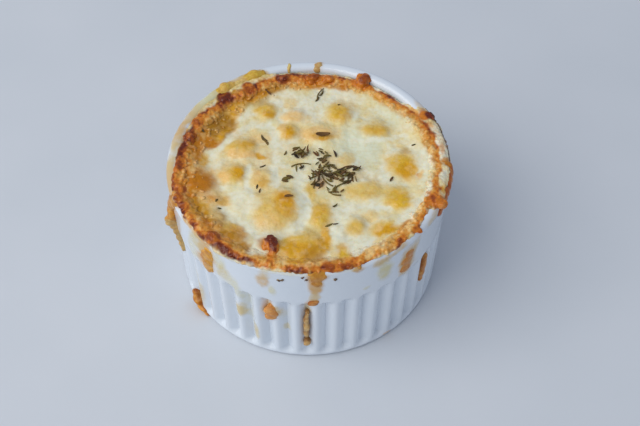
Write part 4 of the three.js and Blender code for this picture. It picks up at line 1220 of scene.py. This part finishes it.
class MakeCrust(bpy.types.Operator):
    """Model the crust: a band over the rim and bubbles of cheese on it, melted into one"""

    bl_idname = "mesh.baked_dish_crust"
    bl_label = "Browned Crust"

    def execute(self, context):
        settings = context.scene.crust_settings
        relief = context.scene.cheese_settings.relief
        draw = np.random.default_rng(settings.seed)
        parts = [self.band(relief), self.crags(settings, relief, draw), self.lumps(draw)]
        parts.append(self.hairlines(relief, draw))
        piece = join(parts, "browned_crust")
        modify(piece, "REMESH", mode="VOXEL", voxel_size=CRAG_VOXEL * MM)
        modify(piece, "SMOOTH", factor=0.5, iterations=CRUST_SMOOTHING)
        self.roughen(piece)
        places = places_of(piece)
        # The tone holds painted shade in the crust's hollows and painted highlights on its crests.
        paint(piece, "tone", crust_colours(places, hollowness(piece)))
        finish_piece(piece, baked_crust())
        return {"FINISHED"}

    def band(self, relief):
        """A torus whose section is laid from under the cheese to the crust's outer edge."""
        around, section = BAND_SEGMENTS
        nothing_selected()
        bpy.ops.mesh.primitive_torus_add(
            major_segments=around, minor_segments=section, major_radius=RIM_CROWN * MM,
            minor_radius=MM, location=(0, 0, 0))
        piece = named("crust_band")
        places = places_of(piece)
        radius, angle = polar_of(places)
        share = np.clip((radius - RIM_CROWN + 1) / 2, 0, 1)
        lift = places[:, 2]
        line, half = (round_the_dish(CRUST_LINE, angle, column) for column in (1, 2))
        edge = ring_places(angle, RIM_CROWN, np.zeros(len(angle)))
        uneven = blend(0.6, 0.2, smoothstep(42.5, 44, line))
        ragged = layered_noise(edge, 3, 125, 4)
        outer = rim_distance(line + half * (0.85 + uneven * ragged))
        spread = round_the_dish(CRUST_SPREAD, angle) + 0.7 * ragged
        inner = np.minimum(line - half - CRUST_SKIRT, CHEESE_RADIUS - CRUST_SKIRT)
        along = blend(rim_distance(inner), np.maximum(outer, spread), share)
        base, level, outwards, upwards = crust_place(angle, along, relief)
        sunk = 0.6 * (1 - smoothstep(0, 0.5, share))
        out = np.where(lift > 0, 0.4 * lift, 0.9 * lift) - sunk
        place(piece, ring_places(angle, base + out * outwards, level + out * upwards))
        return piece

    def crags(self, settings, relief, draw):
        angle = draw.random(settings.crags) * TURN
        line, half = (round_the_dish(CRUST_LINE, angle, column) for column in (1, 2))
        largest = settings.crag_size / MM
        size = np.minimum(largest * blend(0.35, 1, draw.random(len(angle)) ** 2), 0.3 + 0.6 * half)
        offset = np.minimum(0.6 * draw.standard_normal(len(angle)) - 0.15, 0.45)
        inside = draw.random(len(angle)) < settings.lace
        width = np.maximum(0.8 * round_the_dish(TOASTED_EDGE, angle) - half, 0)
        width = np.where(np.abs(angle_between(angle, FRONT)) < THIN_LACE, 0.2 * width, width)
        lace = line - half - width * draw.random(len(angle)) ** 1.9
        size = np.where(inside, np.clip(size, 0.45, 0.7), size)
        along = rim_distance(np.where(inside, lace, line + half * offset))
        base, level, outwards, upwards = crust_place(angle, along, relief)
        rise = blend(-0.7, -0.05, draw.random(len(angle))) * size + 0.1 * size * inside
        centres = ring_places(angle, base + rise * outwards, level + rise * upwards)
        return self.scatter(blob_template("crag", 2), centres, size, draw, "crags")

    def hairlines(self, relief, draw):
        """Rows of small burnt crumbs."""
        rows = [(np.arange(first, last, 0.4), along) for first, last, along in BURNT_EDGES]
        angle = np.concatenate([row for row, _ in rows])
        along = np.concatenate([np.full(len(row), along) for row, along in rows])
        along = along + 0.2 * draw.standard_normal(len(angle))
        base, level, _, _ = crust_place(angle, along, relief)
        size = draw.uniform(0.28, 0.45, len(angle))
        centres = ring_places(angle, base, level)
        return self.scatter(blob_template("crumb", 2), centres, size, draw, "crumbs")

    def scatter(self, template, centres, size, draw, name):
        """Copies of a blob at those places, each stretched and turned in its own way."""
        points = places_of(template)
        placed = []
        for centre, radius in zip(centres, size):
            stretch = Matrix.Diagonal(Vector(blend(0.5, 1.5, draw.random(3))))
            axis = Vector(draw.standard_normal(3))
            spin = Matrix.Rotation(draw.random() * 2 * math.pi, 3, axis)
            placed.append(points @ np.array(spin @ stretch).T * radius + centre)
        return copies(template, placed, name)

    def lumps(self, draw):
        """Each burnt lump is a smooth core with smaller beads on it."""
        template = blob_template("bead", 3)
        ball = places_of(template)
        placed = []
        for x, y, z, length, width, height, turn, _ in LUMPS:
            stretch = Matrix.Diagonal((length, width, height))
            turned = Matrix.Rotation(math.radians(turn), 3, "Z") @ stretch
            core = ball @ np.array(turned).T
            placed.append(core * 0.85 + (x, y, z))
            for _ in range(LUMP_BEADS):
                spot = core[draw.integers(len(core))] * 0.7
                size = min(width, height) * draw.uniform(0.3, 0.5)
                placed.append(ball * size + spot * (1, 1, np.sign(spot[2])) + (x, y, z))
        return copies(template, placed, "lumps")

    def roughen(self, piece):
        places = places_of(piece)
        lift = 0.42 * layered_noise(places, 2.6, 131) + 0.2 * noise(places, 1, 133)
        place(piece, places + normals_of(piece) * np.maximum(lift, -0.22)[:, None])


def dried_run():
    """Cheese that ran down and baked on: clear amber over paler streaks."""
    finish = Finish("baked_run")
    tone = finish.attribute("tone", "Color")
    streaks = finish.noise(1.0, 3, 0.6).between(0.35, 0.7)
    deeper = finish.mix(1.0, tone, srgb(222, 190, 146), "MULTIPLY")
    colour = finish.mix(streaks * 0.6, tone, deeper)
    skin = finish.bump(finish.noise(1.1, 3, 0.5), 0.3, 0.5)
    finish.set(
        Base_Color=colour, Roughness=0.2 + finish.noise(2) * 0.2, Normal=skin,
        Subsurface_Weight=0.1, Subsurface_Radius=(1.0, 0.55, 0.2), Subsurface_Scale=1.0 * MM,
        IOR=1.46, Specular_IOR_Level=0.35,
    )
    return finish.material


class RunSettings(bpy.types.PropertyGroup):
    thickness: bpy.props.FloatProperty(
        name="Thickness", description="How thick the runs are beside their usual thickness",
        default=1, min=0.2, max=1.3, subtype="FACTOR")


class MakeRuns(bpy.types.Operator):
    """Model the cheese that ran over the rim: pads drawn along the glaze and melted together"""

    bl_idname = "mesh.baked_dish_runs"
    bl_label = "Baked Runs"

    def execute(self, context):
        thickness = context.scene.run_settings.thickness
        beads = [(*bead, thickness) for _, _, run in RUNS for bead in run]
        piece = join([self.pad(*bead) for bead in beads], "baked_runs")
        modify(piece, "REMESH", mode="VOXEL", voxel_size=RUN_VOXEL * MM)
        modify(piece, "SMOOTH", factor=0.5, iterations=RUN_SMOOTHING)
        self.ripple(piece)
        paint(piece, "tone", self.colours(places_of(piece)))
        finish_piece(piece, dried_run())
        return {"FINISHED"}

    def pad(self, angle, down, half_width, half_height, proud, thickness):
        """A ball pressed on the glaze: its outer half is the bead and its inner half the root."""
        nothing_selected()
        bpy.ops.mesh.primitive_uv_sphere_add(
            segments=24, ring_count=18, radius=MM, location=(0, 0, 0))
        piece = named("run")
        across, out, up = places_of(piece).T
        rim = np.column_stack((across * 2, up * 2, np.full(len(up), angle + down)))
        uneven = 1 + 0.3 * noise(rim, 1.1, 151)
        s = down - up * half_height * uneven
        radius, height, outwards, upwards = rim_surface(s)
        crown = np.maximum(out, 0) ** 1.3 * proud * thickness
        lift = crown - np.sqrt(np.maximum(-out, 0)) * RUN_ROOT - 0.05
        turned = angle + np.degrees(across * half_width * uneven / RIM_RADIUS)
        place(piece, ring_places(turned, radius + lift * outwards, height + lift * upwards))
        turn_faces_out(piece)
        return piece

    def ripple(self, piece):
        places = places_of(piece)
        swell = 0.1 * layered_noise(places, 1.6, 141)
        place(piece, places + normals_of(piece) * swell[:, None])

    def proudness(self, places):
        """How far places stand out of the glaze."""
        radius, height, outwards, upwards = rim_surface(glaze_distance(places))
        distance, _ = polar_of(places)
        return (distance - radius) * outwards + (places[:, 2] - height) * upwards

    def colours(self, places):
        _, angle = polar_of(places)
        down = glaze_distance(places)
        proud = self.proudness(places)
        nearest = np.full(len(places), 1e9)
        colours = np.zeros((len(places), 3))
        for tone, edge, beads in RUNS:
            for centre, level, half_width, half_height, thickness in beads:
                across = angle_between(angle, centre) * math.radians(RIM_RADIUS) / half_width
                away = np.hypot(across, (down - level) / half_height)
                middle = smoothstep(0.05, 0.75, proud / thickness)
                shade = 1 - edge * (1 - middle)
                here = np.array(srgb(*TONES[tone])) * (shade[:, None] ** (1, 1.5, 2))
                closer = away < nearest
                colours[closer] = here[closer]
                nearest = np.minimum(nearest, away)
        patchy = smoothstep(0, 0.6, layered_noise(places, 2.4, 161))
        colours = colours * (1 - patchy[:, None] * (0.12, 0.22, 0.32))
        pale = smoothstep(-0.1, 0.5, layered_noise(places, 1.8, 165)) * 0.35
        return toned(colours, pale, "peach")


def dry_thyme():
    """Dried thyme: dark olive to brown, different on each leaf."""
    finish = Finish("dry_thyme")
    tone = finish.attribute("tone", "Color")
    veins = finish.noise(0.35, 3, 0.6).between(0.35, 0.7)
    faded = finish.mix(1.0, tone, (1.6, 1.5, 1.3), "MULTIPLY")
    colour = finish.mix(veins * 0.5, tone, faded)
    crinkle = finish.bump(finish.noise(0.3, 2), 0.12, 0.7)
    finish.set(Base_Color=colour, Roughness=0.55 + veins * 0.25, Normal=crinkle, IOR=1.45)
    return finish.material


class ThymeSettings(bpy.types.PropertyGroup):
    leaf_length: bpy.props.FloatProperty(
        name="Leaf length", description="Length of a usual leaf", default=2.3 * MM,
        min=1 * MM, max=6 * MM, unit="LENGTH")
    seed: bpy.props.IntProperty(
        name="Seed", description="Changes how the leaves lie", default=12, min=0)


class MakeThyme(bpy.types.Operator):
    """Model the dried thyme: rolled leaves and thin stems that lie on the cheese"""

    bl_idname = "mesh.baked_dish_thyme"
    bl_label = "Dried Thyme"

    def execute(self, context):
        settings = context.scene.thyme_settings
        self.relief = context.scene.cheese_settings.relief
        draw = np.random.default_rng(settings.seed)
        leaves = self.leaves(draw, settings.leaf_length / MM)
        finish_piece(leaves, dry_thyme())
        stems = self.stems(draw)
        finish_piece(stems, leaves.data.materials[0])
        return {"FINISHED"}

    def leaf_template(self):
        """A thin sheet with two sides, drawn to a point later on each leaf."""
        nothing_selected()
        bpy.ops.mesh.primitive_grid_add(
            x_subdivisions=8, y_subdivisions=4, size=2 * MM, location=(0, 0, 0))
        piece = named("leaf")
        modify(piece, "SOLIDIFY", thickness=LEAF_THICKNESS * MM, offset=0)
        return piece

    def leaves(self, draw, usual):
        spots = [
            (x + draw.normal() * sx * 0.6, y + draw.normal() * sy * 0.6,
             turn + draw.normal() * scatter, usual * draw.uniform(0.6, 1.3),
             draw.uniform(0.2, 0.36), i * 0.12)
            for x, y, sx, sy, count, turn, scatter in THYME_CLUMPS for i in range(count)
        ] + [(*leaf, 0) for leaf in LONE_THYME]
        template = self.leaf_template()
        along, across, thick = places_of(template).T
        placed, shades = [], []
        for x, y, turn, length, share, layer in spots:
            width = length * share
            narrow = np.sqrt(np.maximum(1 - along ** 2, 0.02)) * (1 - 0.25 * along)
            side = across * narrow * width / 2
            roll = draw.uniform(-0.5, 0.9) * across ** 2 * width
            bend = draw.uniform(-0.14, 0.2) * length * along ** 2
            curve = draw.uniform(-0.12, 0.12) * length * along ** 2
            lean = draw.uniform(-0.28, 0.28) * (1 if layer else 0.4)
            height = thick - roll * 0.6 + bend + along * length / 2 * lean
            local = np.column_stack((along * length / 2, side + curve, height))
            placed.append(self.laid(local, x, y, turn, 0.25 + layer * draw.uniform(0.3, 1)))
            shades.append(self.shade(draw, len(along)))
        piece = copies(template, placed, "thyme_leaves")
        paint(piece, "tone", np.concatenate(shades))
        return piece

    def shade(self, draw, count):
        dark, olive, brown = (srgb(*tone) for tone in (THYME_DARK, THYME_OLIVE, THYME_BROWN))
        share, warm = draw.random() ** 1.1, draw.random() ** 2
        colour = blend(blend(np.array(dark), np.array(olive), share), np.array(brown), warm * 0.7)
        return np.tile(colour, (count, 1))

    def laid(self, local, x, y, turn, lift):
        """A leaf's points turned and set on the cheese."""
        c, s = math.cos(math.radians(turn)), math.sin(math.radians(turn))
        px = x + local[:, 0] * c - local[:, 1] * s
        level = LIST_LEVEL
        for _ in range(3):
            py = y - SIGHT_LEAN * (level - LIST_LEVEL) + local[:, 0] * s + local[:, 1] * c
            ground = top_height(px, py, self.relief)
            level = ground.mean()
        return np.column_stack((px, py, blend(ground, ground.mean(), 0.5) + lift + local[:, 2]))

    def stems(self, draw):
        nothing_selected()
        bpy.ops.mesh.primitive_cylinder_add(vertices=6, radius=MM, depth=2 * MM, location=(0, 0, 0))
        template = named("stem")
        bpy.ops.object.mode_set(mode="EDIT")
        bpy.ops.mesh.select_all(action="SELECT")
        bpy.ops.mesh.bisect(plane_co=(0, 0, 0), plane_no=(0, 0, 1))
        for height in STEM_CUTS:
            bpy.ops.mesh.select_all(action="SELECT")
            bpy.ops.mesh.bisect(plane_co=(0, 0, height * MM), plane_no=(0, 0, 1))
        bpy.ops.object.mode_set(mode="OBJECT")
        side, up, along = places_of(template).T
        placed, shades = [], []
        for x, y, turn, length in THYME_STEMS:
            radius = STEM_RADIUS * (1 - 0.3 * along)
            arch = draw.uniform(0.05, 0.2) * length * (1 - along ** 2)
            local = np.column_stack((along * length / 2, side * radius + arch, up * radius))
            placed.append(self.laid(local, x, y, turn, 0.35))
            shades.append(self.shade(draw, len(along)))
        piece = copies(template, placed, "thyme_stems")
        paint(piece, "tone", np.concatenate(shades))
        return piece


class StageSettings(bpy.types.PropertyGroup):
    floor: bpy.props.FloatVectorProperty(
        name="Floor", description="Colour of the table top", default=srgb(217, 221, 227),
        size=3, min=0, max=1, subtype="COLOR")
    daylight: bpy.props.FloatProperty(
        name="Daylight", description="Power of the soft window light", default=24, min=0,
        unit="POWER")
    daylight_angle: bpy.props.FloatProperty(
        name="Daylight angle", description="Side that the window light comes from, about Z",
        default=math.radians(206), unit="ROTATION")
    daylight_elevation: bpy.props.FloatProperty(
        name="Daylight elevation", description="How far above the horizon the window is",
        default=math.radians(46), min=0, max=math.pi / 2, unit="ROTATION")
    sky: bpy.props.FloatProperty(
        name="Sky", description="Strength of the light from all round", default=0.42, min=0)
    distance: bpy.props.FloatProperty(
        name="Camera distance", description="From the middle of the dish's foot",
        default=0.394922, min=0.1, unit="LENGTH")
    elevation: bpy.props.FloatProperty(
        name="Camera elevation", description="How far above the horizon the camera stands",
        default=math.radians(52.979), min=0, max=math.pi / 2, unit="ROTATION")


def table_top(settings):
    """Pale painted table top."""
    finish = Finish("pale_floor")
    soft = finish.mix(finish.noise(60, 2), tuple(settings.floor), srgb(204, 210, 217))
    grain = finish.bump(finish.noise(3, 3), 0.05, 0.3)
    finish.set(Base_Color=soft, Roughness=0.55, Normal=grain)
    return finish.material


class MakeStage(bpy.types.Operator):
    """Set the camera, the soft daylight and the pale floor"""

    bl_idname = "scene.baked_dish_stage"
    bl_label = "Stage"

    def execute(self, context):
        settings = context.scene.stage_settings
        nothing_selected()
        bpy.ops.mesh.primitive_plane_add(size=FLOOR_SIZE, location=(0, 0, -FLOOR_DROP * MM))
        floor = named("floor")
        floor.data.materials.append(table_top(settings))
        self.camera(settings)
        self.lights(settings)
        context.scene.view_settings.view_transform = "Standard"
        return {"FINISHED"}

    def camera(self, settings):
        e = settings.elevation
        place_of_camera = Vector((0, -math.cos(e), math.sin(e))) * settings.distance
        ahead = -place_of_camera.normalized()
        right = Vector((1, 0, 0))
        up = right.cross(ahead)
        turned = ahead * math.cos(CAMERA_PAN) + right * math.sin(CAMERA_PAN)
        right = right * math.cos(CAMERA_PAN) - ahead * math.sin(CAMERA_PAN)
        aimed = turned * math.cos(CAMERA_TILT) + up * math.sin(CAMERA_TILT)
        up = up * math.cos(CAMERA_TILT) - turned * math.sin(CAMERA_TILT)
        right, up = (right * math.cos(CAMERA_ROLL) + up * math.sin(CAMERA_ROLL),
                     up * math.cos(CAMERA_ROLL) - right * math.sin(CAMERA_ROLL))
        axes = Matrix((right, up, -aimed)).transposed().to_4x4()
        bpy.ops.object.camera_add(location=place_of_camera, rotation=axes.to_euler())
        camera = bpy.context.object
        camera.data.lens = CAMERA_LENS
        camera.data.sensor_width = SENSOR_WIDTH
        camera.data.clip_start = NEAR_CLIP
        bpy.context.scene.camera = camera

    def lights(self, settings):
        a, e = settings.daylight_angle, settings.daylight_elevation
        position = Vector((math.cos(a) * math.cos(e), math.sin(a) * math.cos(e), math.sin(e)))
        self.window("daylight", position * WINDOW_DISTANCE, settings.daylight)
        world = bpy.data.worlds.new("sky")
        world.use_nodes = True
        background = world.node_tree.nodes["Background"]
        background.inputs["Color"].default_value = (*SKY_COLOUR, 1)
        background.inputs["Strength"].default_value = settings.sky
        bpy.context.scene.world = world

    def window(self, name, position, power):
        facing = (-position).to_track_quat("-Z", "Y").to_euler()
        bpy.ops.object.light_add(type="AREA", location=position, rotation=facing)
        lamp = bpy.context.object
        lamp.name = name
        lamp.data.size = WINDOW_SIZE
        lamp.data.energy = power
        lamp.data.color = WINDOW_COLOUR


class BakedDishPanel(bpy.types.Panel):
    """Lists the pieces of the baked dish with their settings"""

    bl_idname = "VIEW3D_PT_baked_dish"
    bl_label = "Baked Dish"
    bl_space_type = "VIEW_3D"
    bl_region_type = "UI"
    bl_category = "Baked Dish"

    def draw(self, context):
        for operator, settings, _ in PIECES:
            box = self.layout.box()
            box.operator(operator.bl_idname)
            group = getattr(context.scene, settings)
            for name in type(group).__annotations__:
                box.prop(group, name)


PIECES = [
    (MakeStage, "stage_settings", StageSettings), (MakeDish, "dish_settings", DishSettings),
    (MakeCheese, "cheese_settings", CheeseSettings), (MakeCrust, "crust_settings", CrustSettings),
    (MakeRuns, "run_settings", RunSettings), (MakeThyme, "thyme_settings", ThymeSettings),
]


def register():
    for operator, name, group in PIECES:
        bpy.utils.register_class(group)
        setattr(bpy.types.Scene, name, bpy.props.PointerProperty(type=group))
        bpy.utils.register_class(operator)
    bpy.utils.register_class(BakedDishPanel)


def unregister():
    bpy.utils.unregister_class(BakedDishPanel)
    for operator, name, group in reversed(PIECES):
        bpy.utils.unregister_class(operator)
        delattr(bpy.types.Scene, name)
        bpy.utils.unregister_class(group)


def main():
    register()
    for operator, _, _ in PIECES:
        area, name = operator.bl_idname.split(".")
        getattr(getattr(bpy.ops, area), name)()


if __name__ == "__main__":
    main()
